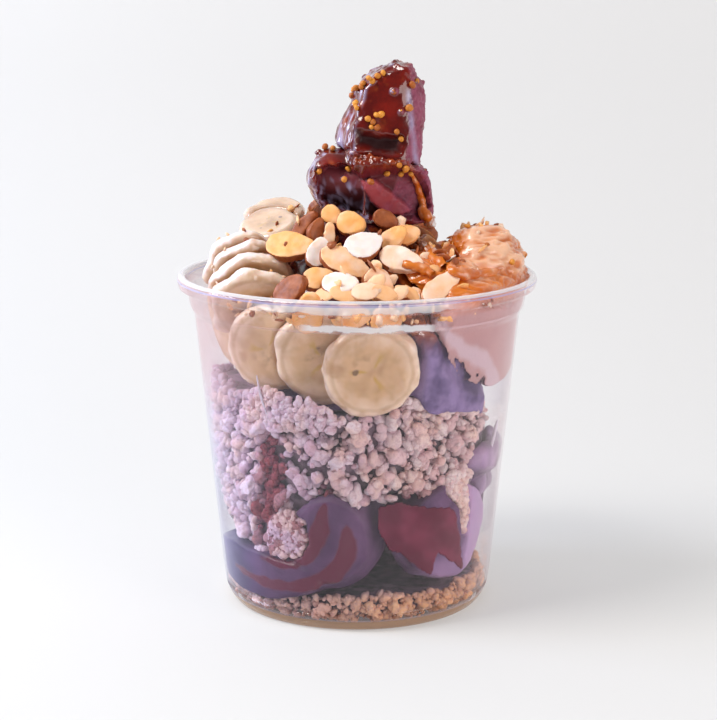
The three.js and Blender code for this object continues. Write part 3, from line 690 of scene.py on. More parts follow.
# between these angles at the right, at these heights, the wall shows no granola
OPEN_FROM, OPEN_TO = ((20, 45, 48, 56, 60), (46, 48, 54, 55, 62)), 100
GRANOLA = [
    # piece, CAD solid, its shapes, how many, radius from and to, how deep they may sink
    ("granola_lumps", "granola_middle", big, 360, 2.1, 3.4, 1.0),
    ("granola_clumps", "granola_middle", middling, 1350, 1.2, 2.3, 1.6),
    ("granola_crumbs", "granola_middle", small, 1950, 0.6, 1.35, 1.8),
    ("granola_base_clumps", "granola_base", middling, 520, 1.0, 2.1, 1.2),
    ("granola_base_crumbs", "granola_base", small, 900, 0.5, 1.0, 1.2),
]
for number, (name, node, shapes, count, least, most, sink) in enumerate(GRANOLA):
    random = np.random.default_rng(40 + number)
    at, normal = on_surface(node, count, random, side_faces)
    at = at - normal * random.uniform(-0.6, sink, (count, 1))
    size = random.uniform(least, most, count)
    wall_at = on_wall(at)
    angle = np.degrees(wall_at[:, 0] / HALFWAY)
    open_side = (angle > np.interp(at[:, 2], *OPEN_FROM)) & (angle < OPEN_TO)
    void = np.min([stroke(wall_at, unrolled(line)) for line in VOIDS], axis=0) < 0.35 * size
    kept = ~((open_side | void) & (node == "granola_middle"))
    at, size, count = at[kept], size[kept], kept.sum()
    r = reach_of(at)
    at[:, :2] *= (np.minimum(r, wall_radius(at[:, 2]) - 0.55 * size) / r)[:, None]
    if name == "granola_crumbs":
        for outline, extra in PRESSED:
            ring = unrolled(outline)
            fill = random.uniform(ring.min(axis=0), ring.max(axis=0), (extra * 3, 2))
            fill = fill[outside_outline(fill, ring) < -0.4][:extra]
            more = random.uniform(1.0, 2.3, len(fill))
            reach = wall_radius(fill[:, 1]) - 0.6 * more - random.uniform(0, 0.8, len(fill))
            at = np.vstack([at, around(fill[:, 0] / HALFWAY, reach, fill[:, 1])])
            size, count = np.append(size, more), count + len(fill)
    points, faces, owner = scatter(shapes, at, size, random)
    points[:, :2] *= np.minimum(1, (wall_radius(points[:, 2]) + 0.12) / reach_of(points))[:, None]
    points[:, 2] = np.maximum(points[:, 2], FLOOR - 0.1)
    piece = build(name, points * MM, faces, oat_surface)
    shade = random.random(count)
    # those pressed in at the lower left are dark, and some of them red
    low_blob = (at[:, 2] < 40) & (at[:, 0] < -10) & (np.arange(count) >= kept.sum())
    shade[low_blob] *= 0.2
    splash = np.min([stroke(on_wall(at), unrolled(line)) for line in SPLASHES], axis=0)
    red = unit(0.6 - splash / 4) * (node == "granola_middle")
    red = unit(red + 0.5 * (grain(at, 9, 1, 6) > 0.9))
    red = np.maximum(red, low_blob * (random.random(count) < 0.3) * 0.7)
    mark(piece, "tone", shade[owner])
    mark(piece, "stain", np.where(red > 0.45, red, 0)[owner])
    # how far inside the wall each point lies, for the painted shade
    mark(piece, "deep", unit((inside_wall(points) - 1.2) / 3.5))
    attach(piece, "root")
    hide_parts(node)
# cores painted dark behind the clumps, as painted shade
for name, node in (("granola_middle_core", "granola_middle"), ("granola_base_core", "granola_base")):
    core = soft_copy(name, node, 1.7, 5, core_shade_surface, -1.3)

# ---------------------------------------------------------------- banana slices
# Ripe banana cut 5 to 6 mm thick, some standing against the wall and some leaning over the rim.
# The flesh is cream, more translucent towards the core, with three faint seams and small seeds.
fruit = Material("banana")
disc = fruit.attribute("disc", "Vector")
u, v = fruit.along("X", disc), fruit.along("Y", disc)
from_middle = (u * u + v * v).math("SQRT")
bearing = v.math("ARCTAN2", u)
wander = fruit.spots(5, 2) - 0.5
seam = (bearing * 1.5 + wander * 1.6).math("SINE").math("ABSOLUTE")
clouds = fruit.spots(6, 4)
colour = fruit.mix((from_middle + wander * 0.6).between(0.45, 0.9), (0.74, 0.47, 0.26), (0.88, 0.66, 0.50))
colour = fruit.mix(from_middle.between(0.84, 0.97), colour, (0.97, 0.76, 0.63))
colour = fruit.mix(clouds.between(0.42, 0.7) * 0.5, colour, (0.52, 0.30, 0.13))
near_middle = from_middle.between(0.55, 0.15)
colour = fruit.mix(fruit.spots(6.5, 3).between(0.5, 0.62) * near_middle * 0.7, colour, (0.34, 0.18, 0.07))
mustard = (seam + wander).between(0.35, 0.05)
mustard = mustard * from_middle.between(0.5, 0.3) * from_middle.between(0.05, 0.15)
colour = fruit.mix(mustard * 0.7, colour, (0.60, 0.36, 0.05))
ring = from_middle + wander * 0.1
colour = fruit.mix(ring.between(0.74, 0.80) * ring.between(0.88, 0.82) * 0.4, colour, (0.52, 0.30, 0.14))
scattered = fruit.add("VectorMath", {"operation": "ADD"}, {0: disc, 1: wander * 0.12})
seeds, kind = [fruit.add("TexVoronoi", {}, {"Vector": scattered, "Scale": 2.7}, output) for output in (0, 1)]
pick = fruit.add("SeparateColor", {}, {0: kind})
seed_mask = seeds.between(0.22, 0.15) * pick.between(0.70, 0.72) * from_middle.between(0.62, 0.5)
colour = fruit.mix(seed_mask * 0.8, colour, (0.13, 0.06, 0.03))
bruise = fruit.spots(9, 2).between(0.60, 0.74)
colour = fruit.mix(bruise * 0.45, colour, (0.46, 0.23, 0.10))
over_rim = fruit.along("Z").between(0.101, 0.109)
# painted shade: the flesh over the rim is a little darker and browner
colour = fruit.mix(over_rim * 0.12, colour, (0.56, 0.40, 0.24))
colour = fruit.mix(fruit.attribute("shaded") * 0.9, colour, (0.42, 0.19, 0.06))
# painted highlight: pale lilac white on the sides turned to the window
colour = fruit.mix(fruit.attribute("lit") * 0.7, colour, (1.0, 0.91, 0.97))
banana_surface = fruit.surface(fruit.principled({
    "Base Color": colour, "Roughness": 0.25, "Specular IOR Level": 0.5,
    "Coat Weight": over_rim * 0.8, "Coat Roughness": 0.08,
    **flesh(0.25, (4, 2.2, 1.0)),
    "Normal": fruit.bump(clouds, 0.25, 0.5)}))


def flat_axis(node):
    """The way that a slice's two flat sides face, from the largest share of its area."""
    _, normal, area = triangles_of(node)
    share = [(area * (np.abs(normal @ n) > 0.985)).sum() for n in normal]
    return normal[int(np.argmax(share))]


def frame_on(points, axis):
    """A flat piece's two in-plane ways, and its middle and half width along them."""
    side = np.cross(axis, (0, 0, 1))
    side /= np.linalg.norm(side)
    ways = np.stack([side, np.cross(side, axis)])
    along = points @ ways.T
    low, high = along.min(axis=0), along.max(axis=0)
    return ways, (low + high) / 2, (high - low).max() / 2


def round_off(points, ways, middle, waves):
    """Rounds a flat piece's outline by keeping only its first few waves round the middle."""
    flat = points @ ways.T - middle
    reach, bins = np.hypot(*flat.T), 60
    turn = (np.arctan2(flat[:, 1], flat[:, 0]) / (2 * math.pi) + 0.5) * bins
    outline = np.zeros(bins)
    np.maximum.at(outline, turn.astype(int) % bins, reach)
    for _ in range(3):
        outline = np.where(outline == 0, np.maximum(np.roll(outline, 1), np.roll(outline, -1)), outline)
    wave = np.fft.rfft(outline)
    wave[waves + 1:] = 0
    ratio = np.clip(np.fft.irfft(wave, bins) / outline, 0.85, 1.2)
    ratio = np.interp(turn, np.arange(-1, bins + 1) + 0.5, np.concatenate([ratio[-1:], ratio, ratio[:1]]))
    return points + (flat * (ratio - 1)[:, None]) @ ways


slice_nodes = [name for name in trees_of_all if name.startswith("banana_slice_")]
TO_WINDOW = (-0.58, -0.3, 0.76)  # painted highlight: the flesh is painted pale on this side, towards the window
OVER_RIM = range(6, 12)  # the slices over the rim, which their neighbours shade from farther away
FULLY_HIGHLIGHTED = range(1, 10)  # those on top and at the back get little painted highlight
for number in range(1, 1 + len(slice_nodes)):
    node = f"banana_slice_{number}"
    slice_ = soft_copy(f"banana_{number}", node, 0.65, 10, banana_surface, 0.2)
    p = points_of(slice_.data)
    axis = flat_axis(node)
    ways, middle, half = frame_on(p, axis)
    p = round_off(p, ways, middle, 6)
    outward = p - axis * (p @ axis)[:, None] - middle @ ways
    p += outward / half * (0.9 * grain(p, 9, 3, number + 20))[:, None]
    p += normals_of(slice_.data) * (0.22 * grain(p, 6, 3, number))[:, None]
    disc_at = np.column_stack([(p @ ways.T - middle) / half, (p @ axis) / half + 3.1 * number])
    move_to(slice_.data, press(p, 0.6, 1.2))
    mark(slice_, "disc", disc_at)
    # painted highlight on the sides turned to the window, over the rim
    lit = (normals_of(slice_.data) @ TO_WINDOW - 0.5) / 0.3 + 0.7 * grain(p, 4, 3, number + 60)
    mark(slice_, "lit", unit(lit) * np.clip((p[:, 2] - 104) / 5, 0, 1 if number in FULLY_HIGHLIGHTED else 0.2))
    near = np.full(len(p), 9.0)
    for other in slice_nodes:
        if other != node:
            near = np.minimum(near, gap_to(other, p))
    mark(slice_, "shaded", unit(1.25 - near / (3.2 if number in OVER_RIM else 1.8)))

# ---------------------------------------------------------------- nut butter
# A big scoop of glossy nut butter stands on the right of the mound and runs down the wall inside.
# Its skin is pulled into ridges by the spoon. Where the plastic presses it flat below the rim it is
# matt, and painted pale pink as a painted reflection and haze of the plastic.
paste = Material("nut_butter")
up = paste.along("Z")
ridge = paste.attribute("ridge")
under = up.between(0.1075, 0.1)
clouds = paste.spots(8, 4)
colour = paste.mix(clouds.between(0.3, 0.7), (0.60, 0.125, 0.004), (0.75, 0.21, 0.014))
colour = paste.mix(ridge.between(0.35, 0.85) * 0.85, colour, (0.97, 0.60, 0.40))
# painted reflection: pale pink below the rim, for the plastic's reflection and haze over it
colour = paste.mix(under * 0.95, colour, paste.mix(clouds, (0.46, 0.25, 0.26), (0.58, 0.34, 0.36)))
colour = paste.mix(paste.attribute("smear") * 0.8, colour, (0.66, 0.50, 0.57))
fine = paste.spots(1.2, 4, 0.7)
paste_surface = paste.surface(paste.principled({
    "Base Color": colour, "Roughness": under.between(0, 1, 0.32, 0.5), "Specular IOR Level": 0.5,
    "Coat Weight": under.between(1, 0, 0, 0.9), "Coat Roughness": 0.1,
    **flesh(0.1, (2.5, 1.2, 0.6)),
    "Normal": paste.bump(fine, 0.35, 0.6)}))
nut = soft_copy("nut_butter_scoop", "nut_butter", 0.6, 12, paste_surface, 0.2)
p = points_of(nut.data)
strung = p * (0.42, 0.9, 1.5)
folds = 1 - np.abs(grain(strung, 9, 2, 5)) * 2.2
fibres = 1 - np.abs(grain(strung, 2.6, 2, 9)) * 2
lift = 0.9 * folds + 0.5 * fibres + 1.6 * grain(p, 14, 2, 2) - 0.6
free = unit(np.maximum((p[:, 2] - 98) / 6, (inside_wall(p) - 1.2) / 2))
p += normals_of(nut.data) * (lift * free)[:, None]
move_to(nut.data, press(p, 1.0, 1.8, 0.3))
pale_side = unit((p[:, 0] - 28) / 8) * np.clip((p[:, 2] - 104) / 8, 0.2, 1)
mark(nut, "ridge", unit(0.4 + 0.3 * folds + 0.25 * fibres) * free * pale_side)
smear = gap_to("acai_upper", p) + 1.2 * grain(p, 7, 3, 31)
mark(nut, "smear", unit(2 - np.abs(smear - 3.4) / 1.3) * unit((103 - p[:, 2]) / 4))

# ---------------------------------------------------------------- tower
# Two pieces broken from a block of frozen acai, stacked on the mound and dipped in red glaze.
# The glaze is glossy and runs in flutes down the left, the broken faces at the right are rough
# and frosted mauve, and the lower piece has a hollow under its ridge, painted dark as shade, that
# shows a cut face painted pink, partly its own colour and partly painted light. A hollow low on the
# front of the upper piece is painted dark as shade too.
TOWER = [
    # name, CAD solid, noise seed
    ("tower_low", "acai_tower_low", 3),
    ("tower_top", "acai_tower_top", 8),
]
# outlines and a line, (x, z) as seen from the front: the lower hollow and its cut face, the upper
# hollow, and the crest over the lower one with its half widths
HOLLOW = [(-13, 142.5), (-4, 144.2), (2, 140.5), (7, 141.5), (14, 141.5), (21, 138), (23, 131), (20, 126.5),
          (8, 127), (-4, 129), (-11, 132.5)]
CUT_FACE = [(1.2, 139.6), (5.5, 139.2), (9.5, 136.5), (13.5, 133), (17.5, 129), (14.5, 127.5), (8, 129.2),
            (3.5, 134)]
HOLLOW_TOP = [(0, 154.5), (7, 153), (13.6, 152.8), (13.2, 148), (5, 148.5), (0, 150.5)]
CREST = [(-2.5, 149.5, 1.6), (0.5, 145, 2.2), (5, 142, 2.6), (9, 142.3, 1.8), (15, 141.6, 1.6),
         (20, 139, 1.2)]
glazed = Material("tower_glaze")
matt, orange_glint = glazed.attribute("matt"), glazed.attribute("orange_glint")
hollow, cut = glazed.attribute("hollow"), glazed.attribute("cut")
clouds = glazed.spots(7, 4)
colour = glazed.mix(clouds.between(0.35, 0.7), (0.10, 0.004, 0.003), (0.20, 0.009, 0.004))
# painted highlight: orange glints on the faces that look up, and on the crest
colour = glazed.mix(orange_glint * 0.8, colour, (0.36, 0.06, 0.012))
height = glazed.along("Z")
# painted shade: the hollows are dark, darkest low in the lower one and in the upper one
darkest_shade = height.between(0.141, 0.131).math("MAXIMUM", height.between(0.146, 0.148))
colour = glazed.mix(hollow, colour, glazed.mix(darkest_shade, (0.16, 0.026, 0.036), (0.026, 0.003, 0.004)))
# painted light, partly its own paler colour: the cut face is pink
colour = glazed.mix(cut, colour, glazed.mix(clouds, (0.22, 0.028, 0.04), (0.48, 0.085, 0.10)))
fine = glazed.spots(1.3, 5, 0.7)
colour = glazed.mix(matt * 0.9, colour, glazed.mix(fine, (0.17, 0.025, 0.06), (0.50, 0.15, 0.25)))
# painted reflection: bluish streaks down the fluted left faces, and one down the right of the upper piece
colour = glazed.mix(glazed.attribute("streak_reflection") * 0.7, colour, (0.50, 0.48, 0.74))
dull = matt.math("MAXIMUM", hollow)
tower_surface = glazed.surface(glazed.principled({
    "Base Color": colour, "Roughness": dull.between(0, 1, 0.22, 0.5), "Specular IOR Level": 0.2,
    "Coat Weight": dull.between(0, 1, 1.0, 0.1), "Coat Roughness": 0.05,
    "Normal": glazed.bump(fine, 0.3, 0.3)}))
for name, node, seed in TOWER:
    block = soft_copy(name, node, 0.45, 5, tower_surface, 0.1)
    p = points_of(block.data)
    n = normals_of(block.data)
    rough, fluted = unit(2.5 * (n[:, 0] - 0.35)), unit(2.5 * (-n[:, 0] - 0.2))
    crag = 0.4 * grain(p, 7, 2, seed)
    crag += rough * 0.55 * (1 - 2 * np.abs(grain(p, 2.4, 2, seed + 1)))
    crag += fluted * 0.4 * grain(p * (1, 1, 0.2), 2, 2, seed + 5)
    front = p[:, [0, 2]] + 0.6 * np.stack([grain(p, 3, 2, 31), grain(p, 3, 2, 32)], 1)
    hollow = cut = crest = np.zeros(len(p))
    if node == "acai_tower_low":
        facing_us = unit(-2 * n[:, 1] + 0.6) * (p[:, 1] < -6)
        # where the hollow is painted dark as shade, and the cut face pink, partly as painted light
        hollow = unit(0.5 - outside_outline(front, HOLLOW) / 1.4) * facing_us
        cut = unit(0.5 - outside_outline(front, CUT_FACE) / 0.8) * facing_us
        crest = unit(0.5 - stroke(front, CREST)) * facing_us * (1 - hollow)
        crag += crest * (0.9 + 0.8 * (1 - 2 * np.abs(grain(p, 1.8, 2, 9))))
    else:
        hollow = unit(0.5 - outside_outline(front, HOLLOW_TOP) / 2.4) * (n[:, 1] < -0.2)
        ragged_top = unit((p[:, 2] - 166) / 8) * unit((p[:, 0] - 4) / 8)
        crag += ragged_top * 0.8 * grain(p, 2.6, 3, 15)
    p += n * crag[:, None]
    p[:, 1] += (4.5 if node == "acai_tower_low" else 2) * hollow - 2.4 * cut
    p[:, 2] += 2.2 * crest
    move_to(block.data, p)
    mark(block, "matt", unit(rough + 0.5 * grain(p, 6, 2, seed) * (rough > 0)))
    # painted highlight on the faces that look up, and along the crest
    upward_glint = unit(1.6 * grain(p, 5, 3, seed + 2) - 0.55) * (n[:, 2] > 0.1)
    mark(block, "orange_glint", unit(upward_glint + crest * (0.5 + grain(p, 4, 2, 6))))
    # painted reflection in streaks of the window down the left, and one streak on the right of the upper
    # piece
    streaks = unit(1.8 * grain(p * (1, 1, 0.18), 2.2, 2, seed + 5))
    right_streak = unit(1 - np.abs(p[:, 0] - 17.2 + 0.12 * (p[:, 2] - 156)) / 1.3) * unit((170 - p[:, 2]) / 4)
    right_streak *= unit(0.8 + 0.8 * grain(p, 5, 2, 41)) * (n[:, 1] < 0.2) * (node == "acai_tower_top")
    mark(block, "streak_reflection", np.maximum(streaks * fluted, right_streak))
    mark(block, "hollow", hollow)
    mark(block, "cut", cut)

# ---------------------------------------------------------------- almonds
# Almonds cut into thick slices and chopped. The cut faces are cream to yellow, the edge keeps a
# thin brown skin on part of its way round, and a few pieces show the skin on a whole face.
nutmeat = Material("almond")
tone, skin = nutmeat.attribute("tone"), nutmeat.attribute("skin")
clouds = nutmeat.spots(3.5, 4)
colour = nutmeat.mix(tone, (1.0, 0.51, 0.18), (1.0, 0.90, 0.88))
colour = nutmeat.mix(clouds.between(0.4, 0.75) * (0.6 - tone * 0.55), colour, (0.90, 0.38, 0.09))
bark = nutmeat.mix(nutmeat.spots(2.5, 4).between(0.3, 0.7), (0.27, 0.065, 0.018), (0.44, 0.13, 0.04))
colour = nutmeat.mix(skin.between(0.4, 0.6), colour, bark)
almond_surface = nutmeat.surface(nutmeat.principled({
    "Base Color": colour, "Roughness": 0.42, "Specular IOR Level": 0.45,
    **flesh(0.15, (2, 1.2, 0.6)),
    "Normal": nutmeat.bump(nutmeat.spots(1.2, 4, 0.7), 0.2, 0.5)}))
SKIN_OUT = {5, 17, 18, 19}  # these lie with the brown skin up
# how pale the others that show are, from 0, yellow, to 1, white
TONES = {1: 0.05, 2: 0.3, 3: 1, 4: 0.6, 6: 0.12, 7: 0.8, 8: 0.15, 9: 0.35, 10: 0.45, 11: 0.2, 12: 0.25,
         13: 0.1, 14: 0.1, 15: 0.1, 16: 0.05, 20: 0.3, 21: 0.9, 22: 0.15, 23: 0.15}
almond_random = np.random.default_rng(5)
almond_nodes = sorted(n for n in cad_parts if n.startswith("almond_"))
for node in almond_nodes:
    number = int(node.rsplit("_", 1)[1])
    nut_piece = soft_copy(f"cut_{node}", node, 0.35, 3, almond_surface, 0.12)
    axis = flat_axis(node)
    axis *= np.sign(axis[2] - 0.3 * axis[1])
    p = points_of(nut_piece.data)
    ways, middle, half = frame_on(p, axis)
    p = round_off(p, ways, middle, 4 + number % 4)
    p += 0.2 * axis * (1 - (np.hypot(*(p @ ways.T - middle).T) / half) ** 2)[:, None]
    move_to(nut_piece.data, p)
    n = normals_of(nut_piece.data)
    edge = 1 - unit((np.abs(n @ axis) - 0.55) / 0.3)
    way = almond_random.normal(size=3)
    way -= axis * (way @ axis)
    way /= np.linalg.norm(way)
    skin_share = edge * unit(0.75 + 1.4 * (n @ way) + 0.8 * grain(p, 5, 2, number))
    if number in SKIN_OUT:
        skin_share = np.maximum(edge, (n @ axis > 0.3) * 1.0)
    p += n * (0.22 * grain(p, 3.5, 2, number))[:, None]
    move_to(nut_piece.data, press(p, 0.5, 0.8))
    tone_here = TONES.get(number, almond_random.beta(0.8, 1.8))
    mark(nut_piece, "tone", unit(tone_here + 0.25 * grain(p, 4, 2, number + 7)))
    mark(nut_piece, "skin", skin_share)

# ---------------------------------------------------------------- almond crumbs
# Chopped bits of the same almonds, 2 to 5 mm long, lie between and on the larger pieces. A few
# shreds lie on the nearest bananas, and some bits against the neck of the cup.
CRUMBS, SHREDS, NECK_BITS = 230, 20, 70
CRUMB_REACH, LOWEST_CRUMB = 48, 92
FAN_X, FAN_Y, FAN_HEIGHT = (-50, -20), (-34, 5), 106  # where shreds lie on bananas, above this height
NECK_ANGLES, NECK_HEIGHTS = (-48, 56), (100.5, 106.5)
SKY = 0.3  # metres, well above the food
random = np.random.default_rng(77)
lying = [n for n in trees_of_all if n not in ("cup", "acai_tower_top", "granola_base", "granola_middle")]


def resting(x, y):
    """The highest place on the food at (x, y) mm, its normal, and the solid it is on."""
    found = []
    for name in lying:
        hit, normal, _, _ = trees_of_all[name].ray_cast(Vector((x * MM, y * MM, SKY)), Vector((0, 0, -1)))
        if hit is not None:
            found.append((hit.z / MM, np.array(normal), name))
    return max(found, key=lambda row: row[0]) if found else None


places, sizes = [], []
while len(places) < CRUMBS:
    angle, reach = math.radians(random.uniform(-180, 180)), CRUMB_REACH * math.sqrt(random.random())
    x, y, _ = around(angle, reach, 0)
    spot = resting(x, y)
    if spot is None or spot[0] < LOWEST_CRUMB or spot[1][2] < 0.25:
        continue
    if spot[2] == "acai_tower_low" or (spot[2] == "nut_butter" and random.random() < 0.8):
        continue
    if spot[2].startswith(("banana", "almond")) and random.random() < 0.95:
        continue
    places.append((x, y, spot[0] + 0.5))
    sizes.append(random.uniform(0.7, 1.9))
shreds = 0
while shreds < SHREDS:
    x, y = random.uniform(*FAN_X), random.uniform(*FAN_Y)
    spot = resting(x, y)
    if spot is None or not spot[2].startswith("banana") or spot[0] < FAN_HEIGHT:
        continue
    places.append((x, y, spot[0] + 0.35))
    sizes.append(random.uniform(0.7, 1.3))
    shreds += 1
for turn, z, size in zip(random.uniform(*NECK_ANGLES, NECK_BITS), random.uniform(*NECK_HEIGHTS, NECK_BITS),
                         random.uniform(0.8, 1.9, NECK_BITS)):
    places.append(around(math.radians(turn), wall_radius(z) - 0.5 * size - 0.2, z))
    sizes.append(size)
shard = [clump_shape(1, 0.35, s + 50) for s in range(6)]
bits = len(places)
points, faces, owner = scatter(shard, np.array(places), np.array(sizes), random, 0.45, 1.5)
crumbs = build("almond_crumbs", points * MM, faces, almond_surface)
mark(crumbs, "tone", random.beta(0.6, 1.7, bits)[owner])
mark(crumbs, "skin", (random.random(bits) < 0.4).astype(float)[owner])
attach(crumbs, "root")

# ---------------------------------------------------------------- almond flakes
# Thin flakes of the same almonds lie flat between the larger pieces, and a few thin slices lean on
# each other behind the front of the lip.
FLAKES = 70
FLAKES_X, FLAKES_Y, LOWEST_FLAKE = (-26, 42), (-50, 4), 98
FEW_FROM = 32  # right of this few flakes lie on the nut butter
spots, sizes = [], []
while len(spots) < FLAKES:
    x, y = random.uniform(*FLAKES_X), random.uniform(*FLAKES_Y)
    spot = resting(x, y)
    if spot is None or spot[0] < LOWEST_FLAKE or spot[2].startswith(("acai_tower_low", "banana")):
        continue
    if spot[2].startswith("almond") and random.random() < 0.9:
        continue
    if spot[2] == "nut_butter" and x > FEW_FROM and random.random() < 0.8:
        continue
    spots.append((x, y, spot[0] + 0.7))
    sizes.append(random.uniform(1.3, 2.5))
leaf = [clump_shape(2, 0.45, s + 60) for s in range(6)]
points, faces, owner = scatter(leaf, np.array(spots), np.array(sizes), random, 0.22, 1.5)
FRONT_SLICES = [
    # place, length and width, spin: thin slices leaning on each other behind the front of the lip
    ((-9.5, -46.5, 108.6), 4.2, 2.8, 20), ((-4, -47.4, 108.8), 4.6, 3.0, -12),
    ((2.6, -47.2, 109.6), 4.8, 3.1, 6), ((8.2, -47.2, 109), 4.2, 2.7, -20),
    ((12.4, -46, 108.6), 3.4, 2.2, 30), ((5.6, -45.2, 111.6), 3.6, 2.4, 40),
    ((16.5, -44.8, 108.2), 2.8, 1.7, -40),
]
thin_slice, thin_faces = clump_shape(3, 0.14, 66)
for number, (place, long, wide, spin) in enumerate(FRONT_SLICES):
    spin, lean = math.radians(spin), math.radians(38 + 4 * number)
    across = np.array((math.cos(spin), 0, math.sin(spin)))
    over = np.array((0, -math.sin(lean), math.cos(lean)))
    ways = np.stack([across, np.cross(over, across), over])
    faces = np.vstack([faces, thin_faces + len(points)])
    points = np.vstack([points, (thin_slice / 0.64 * (long, wide, 0.55)) @ ways + place])
    owner = np.append(owner, np.full(len(thin_slice), FLAKES + number))
flakes = build("almond_flakes", points * MM, faces, almond_surface)
spare = len(FRONT_SLICES)
mark(flakes, "tone", np.append(random.beta(0.7, 1.6, FLAKES), random.uniform(0, 0.45, spare))[owner])
mark(flakes, "skin", np.append(random.random(FLAKES) < 0.35, np.zeros(spare)).astype(float)[owner])
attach(flakes, "root")

# ---------------------------------------------------------------- drizzle and streaks
# Nut butter trickles down the right of the tower, a thread of syrup hangs in the tower's hollow,
# and two thin streaks on the inside of the wall are painted pale, as painted highlights.
eye = Vector(camera.location)


def cast_on(names):
    """A function that finds where the line from the camera to a point first meets these pieces, if at all."""
    trees = [tree_of(bpy.data.objects[name]) for name in names]

    def meet(point):
        hits = [tree.ray_cast(eye, (Vector(point) * MM - eye).normalized()) for tree in trees]
        nearest = min((hit for hit in hits if hit[0] is not None), key=lambda hit: hit[3], default=None)
        return nearest and (np.array(nearest[0]) / MM, np.array(nearest[1]))

    return meet


def strand(path, sides=10):
    """A round string through (x, y, z, radius) stops, closed at both ends."""
    line = cut_corners(np.array(path, float), 3)
    line = np.vstack([line[:1] * (1, 1, 1, 0.1), line, line[-1:] * (1, 1, 1, 0.1)])
    way = np.gradient(line[:, :3], axis=0)
    way /= np.maximum(np.linalg.norm(way, axis=1), 1e-6)[:, None]
    one = np.cross(way, (0.3, 1, 0.2))
    one /= np.linalg.norm(one, axis=1)[:, None]
    two = np.cross(way, one)
    turn = np.arange(sides) * 2 * math.pi / sides
    spread = np.repeat(line[:, :3], sides, axis=0) + np.tile(turn, len(line))[:, None]
    swell = 1 + 0.45 * grain(spread, 2.2, 2, 17)
    rings = line[:, None, :3] + (line[:, None, 3:] * swell.reshape(len(line), sides, 1)) * (
        np.cos(turn)[None, :, None] * one[:, None] + np.sin(turn)[None, :, None] * two[:, None])
    ends = [tuple(range(sides))[::-1], tuple(range((len(line) - 1) * sides, len(line) * sides))]
    return rings.reshape(-1, 3), tube_faces(len(line), sides) + ends


def strands(name, paths, material):
    """One piece made of several strings."""
    points, faces = [], []
    for path in paths:
        string, string_faces = strand(path)
        start = sum(map(len, points))
        faces += [tuple(i + start for i in face) for face in string_faces]
        points.append(string)
    made = build(name, np.concatenate(points) * MM, faces, material)
    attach(made, "root")
    return made


DRIZZLE = [
    # (x, z, radius) as seen from the front
    [(17.2, 141, 0.5), (18.7, 138, 0.9), (19.6, 135.2, 1.2), (20.3, 132, 1.3), (20.9, 128.9, 1.6),
     (22.2, 126.8, 1.9), (23.2, 125, 1.6)],
    [(20.5, 119.5, 1.2), (22.5, 116.5, 1.7), (25, 113.5, 2.0), (27.5, 111, 1.6)],
    [(14.5, 112.5, 1.0), (18, 111.5, 1.5), (21.5, 110.5, 1.6), (24, 109, 1.2)],
    [(29, 112, 1.4), (31, 109.5, 1.9), (35, 108.3, 2.0), (40, 108.8, 1.7), (45, 109.6, 1.2)],
]
THREAD = [(2.3, 136.5, 0.35), (2.5, 133.5, 0.28), (2.2, 130.8, 0.3), (2.4, 128.6, 0.7)]
WALL_STREAKS = [
    # (angle, height, radius) on the wall
    [(-37.4, 82, 0.15), (-36.9, 78.5, 0.4), (-35.8, 74, 0.35), (-34.2, 70, 0.15)],
    [(67.8, 62.7, 0.3), (65.6, 59.2, 0.6), (63.9, 54.5, 0.4)],
]
under_drizzle = cast_on(
    ["tower_low", "nut_butter_scoop", "upper_acai"] + ["cut_" + name for name in almond_nodes])
runs = []
for line in DRIZZLE:
    met = [(under_drizzle((x, -14, z)), radius) for x, z, radius in line]
    runs.append([(*(found[0] + 0.3 * radius * found[1]), radius) for found, radius in met if found])
drizzle = strands("nut_butter_drizzle", runs, paste_surface)
mark(drizzle, "ridge", unit(0.35 + 0.5 * grain(points_of(drizzle.data), 3, 2, 2)))
strands("syrup_thread", [[(x, -17.5, z, radius) for x, z, radius in THREAD]], tower_surface)
streak_lines = [[(*around(math.radians(a), wall_radius(z) - 0.1, z), radius) for a, z, radius in line]
          for line in WALL_STREAKS]
# painted highlight: the streaks are pale
film = Material("pale_streak_highlight")
strands("wall_highlight_streaks", streak_lines, film.surface(film.principled({
    "Base Color": (0.72, 0.64, 0.76), "Roughness": 0.4})))

